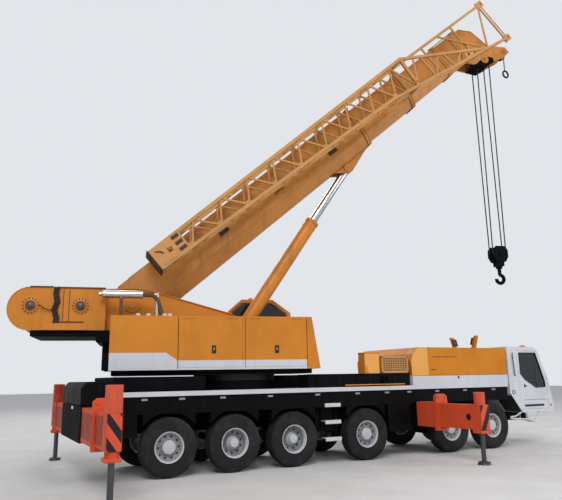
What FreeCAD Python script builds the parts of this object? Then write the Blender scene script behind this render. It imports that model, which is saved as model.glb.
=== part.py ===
"""Six-axle mobile crane: telescopic boom raised, lattice fly jib stowed beside it, outriggers set.

Lengths are millimetres and angles degrees. The crane stands on Z = 0 and faces +X, with +Y its left.
Three frames are used, and each finished piece is placed from the one it is drawn in:
  the carrier's, whose X is counted from the rearmost axle,
  the superstructure's, on the slewing axis at ground level, turned to the right by the slew angle,
  the boom's, on the boom's foot pin, with X along the boom and Z square to it, upward.
"""

import FreeCAD, Part
import math
import os
import re

import Sketcher

Vector = FreeCAD.Vector

# alias, value, what it sizes
SIZES = (
    ("rear_axle", -4776, "X of the rearmost axle in the crane's own frame"),
    ("vehicle_width", 2750, "over the tyres and over the deck"),
    ("gap_1_2", 1670, "front axle to the second"),
    ("gap_2_3", 3050, "second axle to the third"),
    ("gap_3_4", 2270, "third axle to the fourth"),
    ("gap_4_5", 1650, "fourth axle to the fifth"),
    ("gap_5_6", 1650, "fifth axle to the rearmost"),
    ("tyre_radius", 685, "14.00 R 25 tyre"),
    ("tyre_width", 375, "over the sidewalls"),
    ("tread_half", 150, "half the flat of the tread"),
    ("rim_radius", 355, "outside of the rim"),
    ("rim_bore", 318, "inside of the rim"),
    ("rim_half", 165, "half the rim's width"),
    ("disc_out", 85, "outer face of a flat wheel disc, from the wheel's middle"),
    ("dish_out", -60, "outer face of a deep wheel disc, from the wheel's middle"),
    ("disc_wall", 25, "wheel disc's thickness"),
    ("hub_radius", 150, "wheel hub"),
    ("hub_cap", 150, "hub's outer end, from the wheel's middle"),
    ("hub_back", -75, "hub's inner end, from the wheel's middle"),
    ("spindle_radius", 70, "spindle in the hub"),
    ("spindle_end", 105, "spindle's outer end, from the wheel's middle"),
    ("running_gap", 0.05, "radial play of a shaft in its bore"),
    ("seat_gap", 0.3, "play between seated pieces"),
    ("kingpin_out", 900, "kingpin, from the middle of the crane"),
    ("kingpin_radius", 35, "kingpin"),
    ("knuckle_radius", 75, "knuckle's barrel round the kingpin"),
    ("knuckle_half", 105, "half the knuckle barrel's height"),
    ("ear_wall", 60, "fork ear above and below a knuckle"),
    ("beam_radius", 85, "axle beam"),
    ("final_drive_radius", 230, "axle's middle housing"),
    ("final_drive_half", 190, "half the middle housing's width"),
    ("strut_radius", 55, "suspension strut"),
    ("strut_out", 487, "suspension strut, from the middle of the crane"),
    ("girder_half", 430, "half the chassis girder's width"),
    ("girder_low", 960, "girder's underside"),
    ("girder_high", 1700, "girder's top"),
    ("girder_rear", -1650, "girder's rear end"),
    ("girder_ahead", 770, "front axle to where the girder drops under the cab"),
    ("nose_low", 720, "girder's underside below the cab"),
    ("nose_back", 270, "girder's front end, back from the bumper's face"),
    ("cross_low", 1560, "underside of the cross members"),
    ("cross_wall", 120, "cross member's width along the crane"),
    ("deck_low", 1840, "lower edge of the deck's white rim"),
    ("deck_high", 1950, "deck's top"),
    ("deck_rear", -1150, "deck's rear end"),
    ("deck_ahead", 780, "front axle to the deck's front end"),
    ("deck_wall", 40, "deck plate and rim"),
    ("skirt_low", 1440, "lower edge of the black side plates"),
    ("skirt_out", 1330, "outside of the black side plates"),
    ("tail_rear", -2040, "rear face of the tail box"),
    ("tail_high", 2200, "tail box's top"),
    ("tail_bevel", 130, "bevel of the tail box's upper rear edge"),
    ("tail_hole", 60, "round hole in the tail box's side"),
    ("slew_axis", 2180, "slewing axis, from the rearmost axle"),
    ("slew_angle", 14, "how far the superstructure is turned to the right"),
    ("ring_radius", 1100, "slewing ring"),
    ("ring_split", 2180, "height of the joint in the slewing ring"),
    ("rear_beam_x", -1830, "rear outrigger beams, from the rearmost axle"),
    ("rear_beam_length", 340, "rear beam tube along the crane"),
    ("rear_beam_low", 930, "rear beam tube's underside"),
    ("rear_beam_high", 1650, "rear beam tube's top"),
    ("rear_tube_end", 2800, "rear beam tube's outer end"),
    ("rear_arm_end", 3900, "rear arm's outer end"),
    ("front_beam_back", 1125, "front outrigger beams, back from the second axle"),
    ("front_beam_length", 350, "front beam tube along the crane"),
    ("front_beam_low", 820, "front beam tube's underside"),
    ("front_beam_high", 1490, "front beam tube's top"),
    ("front_tube_end", 2240, "front beam tube's outer end"),
    ("front_arm_end", 3790, "front arm's outer end"),
    ("tube_wall", 25, "beam tube's wall"),
    ("tube_start", 500, "beam tube's inner end, from the middle of the crane"),
    ("arm_play", 0.5, "play of an arm in its tube, and of the tube in its housing"),
    ("arm_wall", 20, "arm's wall"),
    ("arm_hold", 900, "how much of an arm lies in its tube"),
    ("housing_wall", 30, "wall of the crosswise outrigger housing"),
    ("collar_wall", 30, "collar at a tube's mouth"),
    ("collar_width", 120, "collar's width along the tube"),
    ("web_hole_radius", 85, "round hole in a front arm's web"),
    ("jack_case_radius", 135, "jack's case"),
    ("jack_leg_radius", 60, "jack's leg"),
    ("jack_bore", 60.05, "bore for the leg"),
    ("rear_case_high", 2130, "rear jack case's top"),
    ("front_case_high", 1770, "front jack case's top"),
    ("case_low", 760, "jack case's lower end"),
    ("foot_radius", 150, "jack's foot"),
    ("foot_height", 70, "jack's foot"),
    ("hood_back", 1410, "hood's rear end, back from the second axle"),
    ("hood_ahead", 800, "front axle to the hood's front end"),
    ("hood_high", 3050, "carrier hood's top"),
    ("hood_slope", 310, "how far the hood's rear end slopes"),
    ("hood_shoulder", 2660, "where the rear slope starts"),
    ("hood_wall", 30, "hood's sheet"),
    ("rest_ahead", 390, "front axle to the boom rest"),
    ("rest_high", 3500, "boom rest's top"),
    ("rest_half", 620, "half the boom rest's width"),
    ("locker_ahead", 40, "third axle to the deck locker"),
    ("locker_length", 500, "deck locker"),
    ("locker_high", 2880, "deck locker's top"),
    ("box_high", 2300, "top of the black deck boxes"),
    ("box_ahead", 450, "fourth axle to the black deck boxes"),
    ("box_in", 780, "inner side of the deck boxes"),
    ("grille_ahead", 610, "third axle to the grille box"),
    ("grille_length", 960, "grille box"),
    ("grille_high", 2790, "grille box's top"),
    ("tank_ahead", 760, "third axle to the fuel tank"),
    ("tank_length", 820, "fuel tank"),
    ("tank_low", 700, "fuel tank's underside"),
    ("side_box_low", 800, "underside of the boxes behind the steps"),
    ("step_ahead", 1170, "fourth axle to the access steps"),
    ("step_length", 480, "step tread"),
    ("step_pitch", 435, "height from tread to tread"),
    ("step_low", 600, "lowest tread"),
    ("cab_ahead", 860, "front axle to the cab's rear wall"),
    ("cab_low", 1020, "cab's underside"),
    ("cab_high", 3100, "cab's roof"),
    ("cab_length", 1970, "cab's rear wall to the bumper's face"),
    ("cab_wall", 40, "cab's wall"),
    ("door_ahead", 450, "cab's rear wall to the door"),
    ("door_length", 1300, "cab door's length"),
    ("door_low", 1120, "cab door's lower edge"),
    ("door_high", 2965, "cab door's upper edge"),
    ("door_gap", 6, "gap round a door"),
    ("hinge_gap", 0.5, "gap at a door's hinged edge, and play of its hinges"),
    ("hinge_radius", 16, "hinge's knuckle"),
    ("hinge_half", 40, "half a hinge knuckle's length"),
    ("base_high", 2450, "top of the turntable's plate"),
    ("base_wall", 120, "turntable's plate"),
    ("base_rear", -3200, "turntable plate's rear end, from the slewing axis"),
    ("base_front", 1900, "turntable plate's front end"),
    ("base_half", 1100, "half the turntable plate's width"),
    ("cheek_in", 560, "inside of the turntable's cheeks"),
    ("cheek_wall", 60, "turntable's cheek"),
    ("foot_pin_x", -2750, "boom's foot pin, from the slewing axis"),
    ("foot_pin_z", 4150, "boom's foot pin"),
    ("foot_pin_radius", 110, "boom's foot pin"),
    ("boom_angle", 40.5, "boom above the horizontal"),
    ("barrel_pin_x", -280, "lift cylinder's lower pin, from the slewing axis"),
    ("barrel_pin_z", 2800, "lift cylinder's lower pin"),
    ("winch_rear", -5170, "rear winch drum, from the slewing axis"),
    ("winch_front", -4000, "front winch drum"),
    ("winch_z", 4050, "winch drums"),
    ("winch_half", 900, "half the winch frame's width"),
    ("winch_wall", 30, "winch frame's plate"),
    ("winch_low", 3450, "winch frame's underside"),
    ("winch_high", 4510, "winch frame's top"),
    ("winch_start", -3400, "winch frame's front wall"),
    ("drum_radius", 260, "winch drum"),
    ("flange_radius", 400, "winch drum's flange"),
    ("house_rear", -3250, "engine housing's rear wall, from the slewing axis"),
    ("house_front", 2060, "engine housing's front wall at its foot"),
    ("house_slope", 210, "how far the front wall leans back"),
    ("house_high", 3780, "engine housing's top"),
    ("house_in", 700, "engine housing's inner wall"),
    ("house_wall", 40, "engine housing's wall"),
    ("left_house_front", -150, "left housing's front wall"),
    ("flap_1", -1600, "rear flap's rear edge"),
    ("flap_length", 1610, "flap's length"),
    ("flap_2", 90, "front flap's rear edge"),
    ("flap_low", 2510, "flaps' lower edge"),
    ("flap_high", 3730, "flaps' upper edge"),
    ("engine_length", 2400, "engine block"),
    ("engine_high", 3350, "engine block's top"),
    ("cabin_rear", -50, "crane cabin's rear wall, from the slewing axis"),
    ("cabin_front", 1850, "crane cabin's front"),
    ("cabin_in", 640, "crane cabin's inner wall"),
    ("cabin_high", 4480, "crane cabin's roof"),
    ("cabin_wall", 35, "crane cabin's wall"),
    ("muffler_x", -3470, "muffler's rear end, from the slewing axis"),
    ("muffler_length", 970, "muffler"),
    ("muffler_radius", 100, "muffler"),
    ("muffler_z", 4330, "muffler's axis"),
    ("muffler_out", 1120, "muffler, from the middle of the superstructure"),
    ("pipe_radius", 45, "exhaust pipe"),
    ("base_depth", 615, "half the boom's depth, base section"),
    ("base_width", 430, "half the boom's width, base section"),
    ("section_wall", 25, "boom sections' wall"),
    ("section_play", 22, "play between boom sections"),
    ("base_end", 8670, "base section's end, from the foot pin"),
    ("base_bulk", 650, "solid foot of the base section"),
    ("mid_hold", 6370, "how much of the middle section lies in the base section"),
    ("mid_out", 2130, "how far the middle section is out"),
    ("head_hold", 6600, "how much of the head section lies in the middle section"),
    ("collar_back", 800, "collar on the head section, back from its end"),
    ("head_out", 2700, "how far the head section is out"),
    ("band_wall", 22, "raised band at a section's end"),
    ("band_width", 110, "raised band's width"),
    ("ring_width", 250, "ring of slide pads at a section's inner end"),
    ("sheave_ahead", 560, "head section's end to the head sheaves"),
    ("sheave_v", -850, "head sheaves, square to the boom"),
    ("sheave_radius", 218, "head and hook sheaves at the rope"),
    ("nose_ahead", 860, "head sheaves to the nose sheave"),
    ("nose_v", -1080, "nose sheave, square to the boom"),
    ("nose_radius", 150, "nose sheave"),
    ("cheek_head", 290, "outside of the head's cheeks"),
    ("eye_back", 1129, "rod's eye, back from the base section's end"),
    ("eye_v", -774, "rod's eye, square to the boom"),
    ("eye_radius", 145, "rod's eye"),
    ("eye_half", 120, "half the eye's width"),
    ("eye_pin_radius", 60, "pin in the rod's eye"),
    ("barrel_radius", 190, "lift cylinder's barrel"),
    ("barrel_length", 4754, "from the lower pin to the gland"),
    ("rod_radius", 120, "lift cylinder's rod"),
    ("rod_length", 4250, "from the eye to the piston end"),
    ("jib_start", 1100, "stowed jib's tail end, along the boom"),
    ("jib_pitch", 950, "length of a bay of lacing"),
    ("jib_turn_low_u", 9500, "where the lower chords turn into the fork"),
    ("jib_turn_high_u", 10600, "where the upper chords turn into the fork"),
    ("jib_knee", 13900, "knee, where the upper outer chord meets the lower one"),
    ("jib_end", 14950, "fork's lugs"),
    ("jib_tail_low", 170, "lower chords at the tail, square to the boom"),
    ("jib_tail_high", 680, "upper chords at the tail"),
    ("jib_turn_low", -100, "lower chords where they turn"),
    ("jib_turn_high", 730, "upper chords where they turn"),
    ("jib_in", -700, "inner chords, from the boom's middle"),
    ("jib_out", -1380, "outer chords"),
    ("jib_lug_low", -790, "lower lug"),
    ("jib_lug_high", 660, "upper lug"),
    ("jib_lug_out", -760, "lugs, from the boom's middle"),
    ("jib_bays", 10, "bays of lacing"),
    ("lug_length", 260, "lug of the jib's fork, along the boom"),
    ("lug_width", 60, "lug's thickness"),
    ("lug_height", 220, "lug's height"),
    ("lug_bore", 40, "radius of a lug's hole"),
    ("jib_arm_rear", 3190, "rear arm that holds the jib"),
    ("arm_back", 1300, "front arm that holds the jib, back from the base section's end"),
    ("chord_wall", 90, "chord, square"),
    ("lace_wall", 45, "lacing bar, square"),
    ("rope_radius", 12, "hoist rope"),
    ("fall_spread", 90, "falls, from the boom's middle"),
    ("hook_z", 5960, "hook block's sheaves"),
    ("block_half", 130, "inside of the hook block's cheeks"),
    ("block_wall", 30, "hook block's cheek"),
    ("hook_low", 4980, "hook's lowest point"),
    ("hook_bar", 55, "hook's round section"),
    ("hook_bend", 130, "hook's bend"),
)

# places that other sizes fix, each worked out from its neighbour's
PLACES = {
    "axle_5": "gap_5_6",
    "axle_4": "axle_5 + gap_4_5",
    "axle_3": "axle_4 + gap_3_4",
    "axle_2": "axle_3 + gap_2_3",
    "axle_1": "axle_2 + gap_1_2",
    "girder_step": "axle_1 + girder_ahead",
    "deck_front": "axle_1 + deck_ahead",
    "front_beam_x": "axle_2 - front_beam_back",
    "hood_rear": "axle_2 - hood_back",
    "hood_front": "axle_1 + hood_ahead",
    "rest_x": "axle_1 + rest_ahead",
    "locker_rear": "axle_3 + locker_ahead",
    "box_rear": "axle_4 + box_ahead",
    "grille_rear": "axle_3 + grille_ahead",
    "tank_rear": "axle_3 + tank_ahead",
    "step_x": "axle_4 + step_ahead",
    "cab_rear": "axle_1 + cab_ahead",
    "cab_front": "cab_rear + cab_length",
    "nose_front": "cab_front - nose_back",
    "door_rear": "cab_rear + door_ahead",
    "door_front": "door_rear + door_length",
    "mid_start": "base_end - mid_hold",
    "mid_end": "base_end + mid_out",
    "head_start": "mid_end - head_hold",
    "head_end": "mid_end + head_out",
    "head_collar": "head_end - collar_back",
    "sheave_u": "head_end + sheave_ahead",
    "nose_u": "sheave_u + nose_ahead",
    "eye_u": "base_end - eye_back",
    "jib_arm_front": "base_end - arm_back",
}

TYRE_SIDES = 32
RIM_SIDES = 18

doc = FreeCAD.newDocument("mobile_crane")
sheet = doc.addObject("Spreadsheet::Sheet", "sizes")
NAMES = set()
for row, (alias, value, what) in enumerate(SIZES, start=1):
    sheet.set(f"A{row}", what)
    sheet.set(f"B{row}", str(value))
    sheet.setAlias(f"B{row}", alias)
    NAMES.add(alias)
doc.recompute()

NODES = []
WORD = re.compile(r"[a-z][a-z0-9_]*")


def size(alias):
    """A number from the sheet, or a place worked out from such numbers."""
    if alias not in PLACES:
        return float(sheet.get(alias))
    total = 0
    sign = 1
    for word in PLACES[alias].split():
        if word in ("+", "-"):
            sign = 1 if word == "+" else -1
        else:
            total += sign * size(word)
    return total


def bound_word(found):
    """One word of an expression: a cell, a place from its own cells, or as it stands."""
    word = found[0]
    if word in PLACES:
        return "(" + bound(PLACES[word]) + ")"
    return "sizes." + word if word in NAMES else word


def bound(text):
    """The expression with each size read from the sheet."""
    return WORD.sub(bound_word, text)


def set_base(piece, x, y, z):
    """Bind where a piece's own corner or centre lies."""
    for axis, text in (("x", x), ("y", y), ("z", z)):
        piece.setExpression("Placement.Base." + axis, bound(text))


def box(name, x_low, x_high, y_low, y_high, z_low, z_high):
    """A block between six planes."""
    piece = doc.addObject("Part::Box", name)
    piece.setExpression("Length", bound(f"({x_high}) - ({x_low})"))
    piece.setExpression("Width", bound(f"({y_high}) - ({y_low})"))
    piece.setExpression("Height", bound(f"({z_high}) - ({z_low})"))
    set_base(piece, x_low, y_low, z_low)
    return piece


def bar(name, axis, radius, one, two, low, high):
    """A round bar along X, Y or Z. one and two place it on the other two axes, in order."""
    piece = doc.addObject("Part::Cylinder", name)
    piece.setExpression("Radius", bound(radius))
    piece.setExpression("Height", bound(f"({high}) - ({low})"))
    turn, base = {
        "X": (FreeCAD.Rotation(Vector(0, 1, 0), 90), (low, one, two)),
        "Y": (FreeCAD.Rotation(Vector(1, 0, 0), -90), (one, low, two)),
        "Z": (FreeCAD.Rotation(), (one, two, low)),
    }[axis]
    piece.Placement = FreeCAD.Placement(Vector(), turn)
    set_base(piece, *base)
    return piece


def draw_loop(sketch, outline):
    """A closed loop of lines in a sketch, with every corner bound to its two expressions."""
    corners = len(outline)
    first = sketch.GeometryCount
    rough = [
        Vector(
            math.cos(2 * math.pi * n / corners), math.sin(2 * math.pi * n / corners), 0
        )
        * 1000
        for n in range(corners)
    ]
    for n in range(corners):
        sketch.addGeometry(
            Part.LineSegment(rough[n], rough[(n + 1) % corners]), False
        )
    for n in range(corners):
        sketch.addConstraint(
            Sketcher.Constraint(
                "Coincident", first + n, 2, first + (n + 1) % corners, 1
            )
        )
    for n, (across, up) in enumerate(outline):
        for kind, text, now in (
            ("DistanceX", across, rough[n].x),
            ("DistanceY", up, rough[n].y),
        ):
            index = sketch.addConstraint(
                Sketcher.Constraint(kind, -1, 1, first + n, 1, now)
            )
            sketch.setExpression(f"Constraints[{index}]", bound(text))


def prism(name, plane, outline, low, high, hole=None):
    """A body padded from an outline on an origin plane, between two planes beside it."""
    body = doc.addObject("PartDesign::Body", name)
    sketch = body.newObject("Sketcher::SketchObject", name + "_outline")
    origin = [f for f in body.Origin.OriginFeatures if f.Role == plane + "_Plane"][0]
    sketch.AttachmentSupport = [(origin, "")]
    sketch.MapMode = "FlatFace"
    draw_loop(sketch, outline)
    if hole:
        draw_loop(sketch, hole)
    start = f"-({high})" if plane == "XZ" else low
    sketch.setExpression("AttachmentOffset.Base.z", bound(start))
    pad = body.newObject("PartDesign::Pad", name + "_pad")
    pad.Profile = sketch
    pad.setExpression("Length", bound(f"({high}) - ({low})"))
    return body


def fuse(name, *pieces):
    """One solid, or solids apart from each other, of several."""
    joined = doc.addObject("Part::MultiFuse", name)
    joined.Shapes = list(pieces)
    joined.Refine = True
    return joined


def cut(name, base, *tools):
    """A piece less one or more others."""
    less = doc.addObject("Part::Cut", name)
    less.Base = base
    less.Tool = tools[0] if len(tools) == 1 else fuse(name + "_tools", *tools)
    less.Refine = True
    return less


def mirror(name, piece):
    """The same piece on the crane's other side."""
    other = doc.addObject("Part::Mirroring", name)
    other.Source = piece
    other.Normal = Vector(0, 1, 0)
    other.Base = Vector(0, 0, 0)
    return other


def pair(name, piece):
    """A piece and its mirror image, as one object."""
    both = doc.addObject("Part::Compound", name)
    both.Links = [piece, mirror(name + "_left", piece)]
    return both


def feature(name, shape):
    """A shape made by rule rather than by one of the objects above."""
    piece = doc.addObject("Part::Feature", name)
    piece.Shape = shape
    return piece


def node(name, place, *pieces):
    """A finished sub-part, whose label names its file, at its place in the crane's own frame."""
    whole = doc.addObject("Part::Compound", name)
    whole.Label = name
    whole.Links = list(pieces)
    whole.Placement = place
    NODES.append(whole)


def turned(profile, sides):
    """A solid of planar faces round the Y axis. profile is (along Y, radius), closed by itself."""
    rings = []
    for along, radius in profile:
        if radius == 0:
            rings.append([Vector(0, along, 0)])
            continue
        rings.append(
            [
                Vector(
                    radius * math.cos(2 * math.pi * n / sides),
                    along,
                    radius * math.sin(2 * math.pi * n / sides),
                )
                for n in range(sides)
            ]
        )
    faces = []
    for ring, other in zip(rings, rings[1:] + rings[:1]):
        if len(ring) == 1 and len(other) == 1:
            continue
        if len(ring) == 1 or len(other) == 1:
            rim = other if len(ring) == 1 else ring
            faces.append(Part.Face(Part.makePolygon(rim + rim[:1])))
            continue
        flat = abs(ring[0].y - other[0].y) < 1e-9
        if flat:
            outer, inner = sorted((ring, other), key=lambda r: -r[0].Length)
            face = Part.Face(Part.makePolygon(outer + outer[:1]))
            faces.append(face.cut(Part.Face(Part.makePolygon(inner + inner[:1]))).Faces[0])
            continue
        for n in range(sides):
            after = (n + 1) % sides
            corners = [ring[n], ring[after], other[after], other[n]]
            faces.append(Part.Face(Part.makePolygon(corners + corners[:1])))
    shell = Part.makeShell(faces)
    shell.sewShape()
    solid = Part.makeSolid(shell)
    if solid.Volume < 0:
        solid.reverse()
    return solid


def stick(start, end, wall, up=Vector(0, 0, 1)):
    """A square bar between two points."""
    along = end - start
    side = along.cross(up)
    if side.Length < 1e-6:
        side = along.cross(Vector(0, 1, 0))
    side.normalize()
    other = along.cross(side)
    other.normalize()
    half = wall / 2
    corners = [
        start + side * (half * a) + other * (half * b)
        for a, b in ((1, 1), (-1, 1), (-1, -1), (1, -1))
    ]
    face = Part.Face(Part.makePolygon(corners + corners[:1]))
    return face.extrude(along)


# where each frame's pieces are placed
CARRIER = FreeCAD.Placement(Vector(size("rear_axle"), 0, 0), FreeCAD.Rotation())
UPPER = CARRIER.multiply(
    FreeCAD.Placement(
        Vector(size("slew_axis"), 0, 0),
        FreeCAD.Rotation(Vector(0, 0, 1), -size("slew_angle")),
    )
)
FOOT_PIN = Vector(size("foot_pin_x"), 0, size("foot_pin_z"))
BOOM = UPPER.multiply(
    FreeCAD.Placement(
        FOOT_PIN, FreeCAD.Rotation(Vector(0, 1, 0), -size("boom_angle"))
    )
)

side = "vehicle_width / 2"
AXLES = ("axle_1", "axle_2", "axle_3", "axle_4", "axle_5", None)
STEERED = 2
DEEP_DISHED = (4, 5)


def wheels():
    """Twelve single wheels: each a tyre and a rim with its hub."""
    width = size("tyre_width") / 2
    tread = size("tread_half")
    bead = (size("rim_radius") + size("seat_gap")) / math.cos(math.pi / TYRE_SIDES)
    radius = size("tyre_radius")
    tyre = feature(
        "tyre_form",
        turned(
            (
                (-tread, bead),
                (-width, radius * 0.68),
                (-width, radius * 0.84),
                (-tread, radius),
                (tread, radius),
                (width, radius * 0.84),
                (width, radius * 0.68),
                (tread, bead),
            ),
            TYRE_SIDES,
        ),
    )
    rims = {}
    for name, face in (("flat", size("disc_out")), ("deep", size("dish_out"))):
        wall = size("disc_wall")
        hub = size("hub_radius")
        bore = (size("spindle_radius") + size("running_gap")) / math.cos(
            math.pi / RIM_SIDES
        )
        half = size("rim_half")
        end = size("spindle_end")
        rims[name] = feature(
            f"rim_form_{name}",
            turned(
                (
                    (size("hub_cap"), 0),
                    (size("hub_cap"), hub * 0.7),
                    (face, hub),
                    (face, size("rim_bore")),
                    (half, size("rim_bore")),
                    (half, size("rim_radius")),
                    (-half, size("rim_radius")),
                    (-half, size("rim_bore")),
                    (face - wall, size("rim_bore")),
                    (face - wall, hub * 0.95),
                    (min(size("hub_back"), face - 2 * wall), hub * 0.9),
                    (min(size("hub_back"), face - 2 * wall), bore),
                    (end + size("seat_gap"), bore),
                    (end + size("seat_gap"), 0),
                ),
                RIM_SIDES,
            ),
        )
    out = size("vehicle_width") / 2 - width
    for number, alias in enumerate(AXLES, start=1):
        along = size(alias) if alias else 0
        for word, sign in (("right", -1), ("left", 1)):
            place = CARRIER.multiply(
                FreeCAD.Placement(
                    Vector(along, sign * out, size("tyre_radius")),
                    FreeCAD.Rotation(Vector(0, 0, 1), 90 - 90 * sign),
                )
            )
            node(f"tyre_{number}_{word}", place, tyre)
            rim = rims["deep" if number in DEEP_DISHED else "flat"]
            node(f"rim_{number}_{word}", place, rim)


def knuckles():
    """Steering knuckles of the front axles, each with its kingpin and its spindle."""
    centre = f"({side} - tyre_width / 2)"
    for number in range(1, STEERED + 1):
        along = AXLES[number - 1]
        barrel = bar(
            f"knuckle_barrel_{number}",
            "Z",
            "knuckle_radius",
            along,
            "kingpin_out",
            "tyre_radius - knuckle_half",
            "tyre_radius + knuckle_half",
        )
        pin = bar(
            f"kingpin_{number}",
            "Z",
            "kingpin_radius",
            along,
            "kingpin_out",
            "tyre_radius - knuckle_half - ear_wall",
            "tyre_radius + knuckle_half + ear_wall",
        )
        spindle = bar(
            f"spindle_{number}",
            "Y",
            "spindle_radius",
            along,
            "tyre_radius",
            "kingpin_out",
            f"{centre} + spindle_end",
        )
        whole = fuse(f"knuckle_{number}", barrel, pin, spindle)
        node(f"knuckle_{number}_left", CARRIER, whole)
        node(
            f"knuckle_{number}_right", CARRIER, mirror(f"knuckle_{number}_other", whole)
        )


def axle_beams():
    """Six axle beams with their middle housings and suspension struts."""
    whole = []
    centre = f"({side} - tyre_width / 2)"
    for number, alias in enumerate(AXLES, start=1):
        along = alias or "0"
        steered = number <= STEERED
        end = "kingpin_out - knuckle_radius - 45" if steered else f"{centre} + spindle_end"
        pieces = [
            bar(
                f"final_drive_{number}",
                "Y",
                "final_drive_radius",
                along,
                "tyre_radius",
                "-final_drive_half",
                "final_drive_half",
            )
        ]
        if steered:
            pieces.append(
                bar(f"beam_{number}", "Y", "beam_radius", along, "tyre_radius", f"-({end})", end)
            )
        else:
            inner = f"({centre} + hub_back - 40)"
            pieces.append(
                bar(
                    f"beam_{number}",
                    "Y",
                    "beam_radius",
                    along,
                    "tyre_radius",
                    f"-{inner}",
                    inner,
                )
            )
            pieces.append(
                bar(
                    f"stub_{number}",
                    "Y",
                    "spindle_radius",
                    along,
                    "tyre_radius",
                    f"-({end})",
                    end,
                )
            )
        for word, sign in (("right", "-1"), ("left", "1")):
            pieces.append(
                bar(
                    f"strut_{number}_{word}",
                    "Z",
                    "strut_radius",
                    along,
                    f"{sign} * strut_out",
                    "tyre_radius",
                    "cross_low",
                )
            )
        if steered:
            ear_high = "tyre_radius + knuckle_half + ear_wall"
            ear_low = "tyre_radius - knuckle_half - ear_wall"
            fork = prism(
                f"fork_{number}",
                "YZ",
                (
                    ("kingpin_out - knuckle_radius - 65", ear_low),
                    ("kingpin_out + knuckle_radius", ear_low),
                    ("kingpin_out + knuckle_radius", "tyre_radius - knuckle_half - 5"),
                    ("kingpin_out - knuckle_radius - 20", "tyre_radius - knuckle_half - 5"),
                    ("kingpin_out - knuckle_radius - 20", "tyre_radius + knuckle_half + 5"),
                    ("kingpin_out + knuckle_radius", "tyre_radius + knuckle_half + 5"),
                    ("kingpin_out + knuckle_radius", ear_high),
                    ("kingpin_out - knuckle_radius - 65", ear_high),
                ),
                f"{along} - knuckle_radius",
                f"{along} + knuckle_radius",
            )
            bore = bar(
                f"kingpin_bore_{number}",
                "Z",
                "kingpin_radius + running_gap",
                along,
                "kingpin_out",
                ear_low,
                ear_high,
            )
            ears = cut(f"ears_{number}", fork, bore)
            pieces += [ears, mirror(f"ears_{number}_right", ears)]
        whole.append(fuse(f"axle_{number}_whole", *pieces))
    node("axle_beams", CARRIER, *whole)


OUTRIGGERS = (
    # name, middle along the crane, length, underside, top, tube's end, arm's end, case top
    (
        "rear",
        "rear_beam_x",
        "rear_beam_length",
        "rear_beam_low",
        "rear_beam_high",
        "rear_tube_end",
        "rear_arm_end",
        "rear_case_high",
    ),
    (
        "front",
        "front_beam_x",
        "front_beam_length",
        "front_beam_low",
        "front_beam_high",
        "front_tube_end",
        "front_arm_end",
        "front_case_high",
    ),
)


def carrier_frame():
    """The box girder with its cross members, slewing ring seat and outrigger housings."""
    girder = prism(
        "girder",
        "XZ",
        (
            ("girder_rear", "girder_low"),
            ("girder_step", "girder_low"),
            ("girder_step + 200", "nose_low"),
            ("nose_front", "nose_low"),
            ("nose_front", "cab_low"),
            ("girder_step", "cab_low"),
            ("girder_step", "girder_high"),
            ("girder_rear", "girder_high"),
        ),
        "-girder_half",
        "girder_half",
    )
    pieces = [girder]
    for number, alias in enumerate(AXLES, start=1):
        along = alias or "0"
        pieces.append(
            box(
                f"cross_member_{number}",
                f"{along} - cross_wall / 2",
                f"{along} + cross_wall / 2",
                "-(skirt_out - deck_wall)",
                "skirt_out - deck_wall",
                "cross_low",
                "deck_high - deck_wall",
            )
        )
    pieces.append(
        bar(
            "ring_seat",
            "Z",
            "ring_radius",
            "slew_axis",
            "0",
            "girder_high - 100",
            "ring_split",
        )
    )
    tunnels = []
    for name, middle, length, low, high, *rest in OUTRIGGERS:
        half = f"({length} / 2 + arm_play)"
        pieces.append(
            box(
                f"{name}_housing",
                f"{middle} - {half} - housing_wall",
                f"{middle} + {half} + housing_wall",
                f"-({side})",
                side,
                f"{low} - arm_play - housing_wall",
                f"{high} + arm_play + housing_wall",
            )
        )
        tunnels.append(
            box(
                f"{name}_tunnel",
                f"{middle} - {half}",
                f"{middle} + {half}",
                f"-({side}) - 10",
                f"{side} + 10",
                f"{low} - arm_play",
                f"{high} + arm_play",
            )
        )
    whole = fuse("carrier_frame_solid", *pieces)
    node("carrier_frame", CARRIER, cut("carrier_frame_open", whole, *tunnels))


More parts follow.
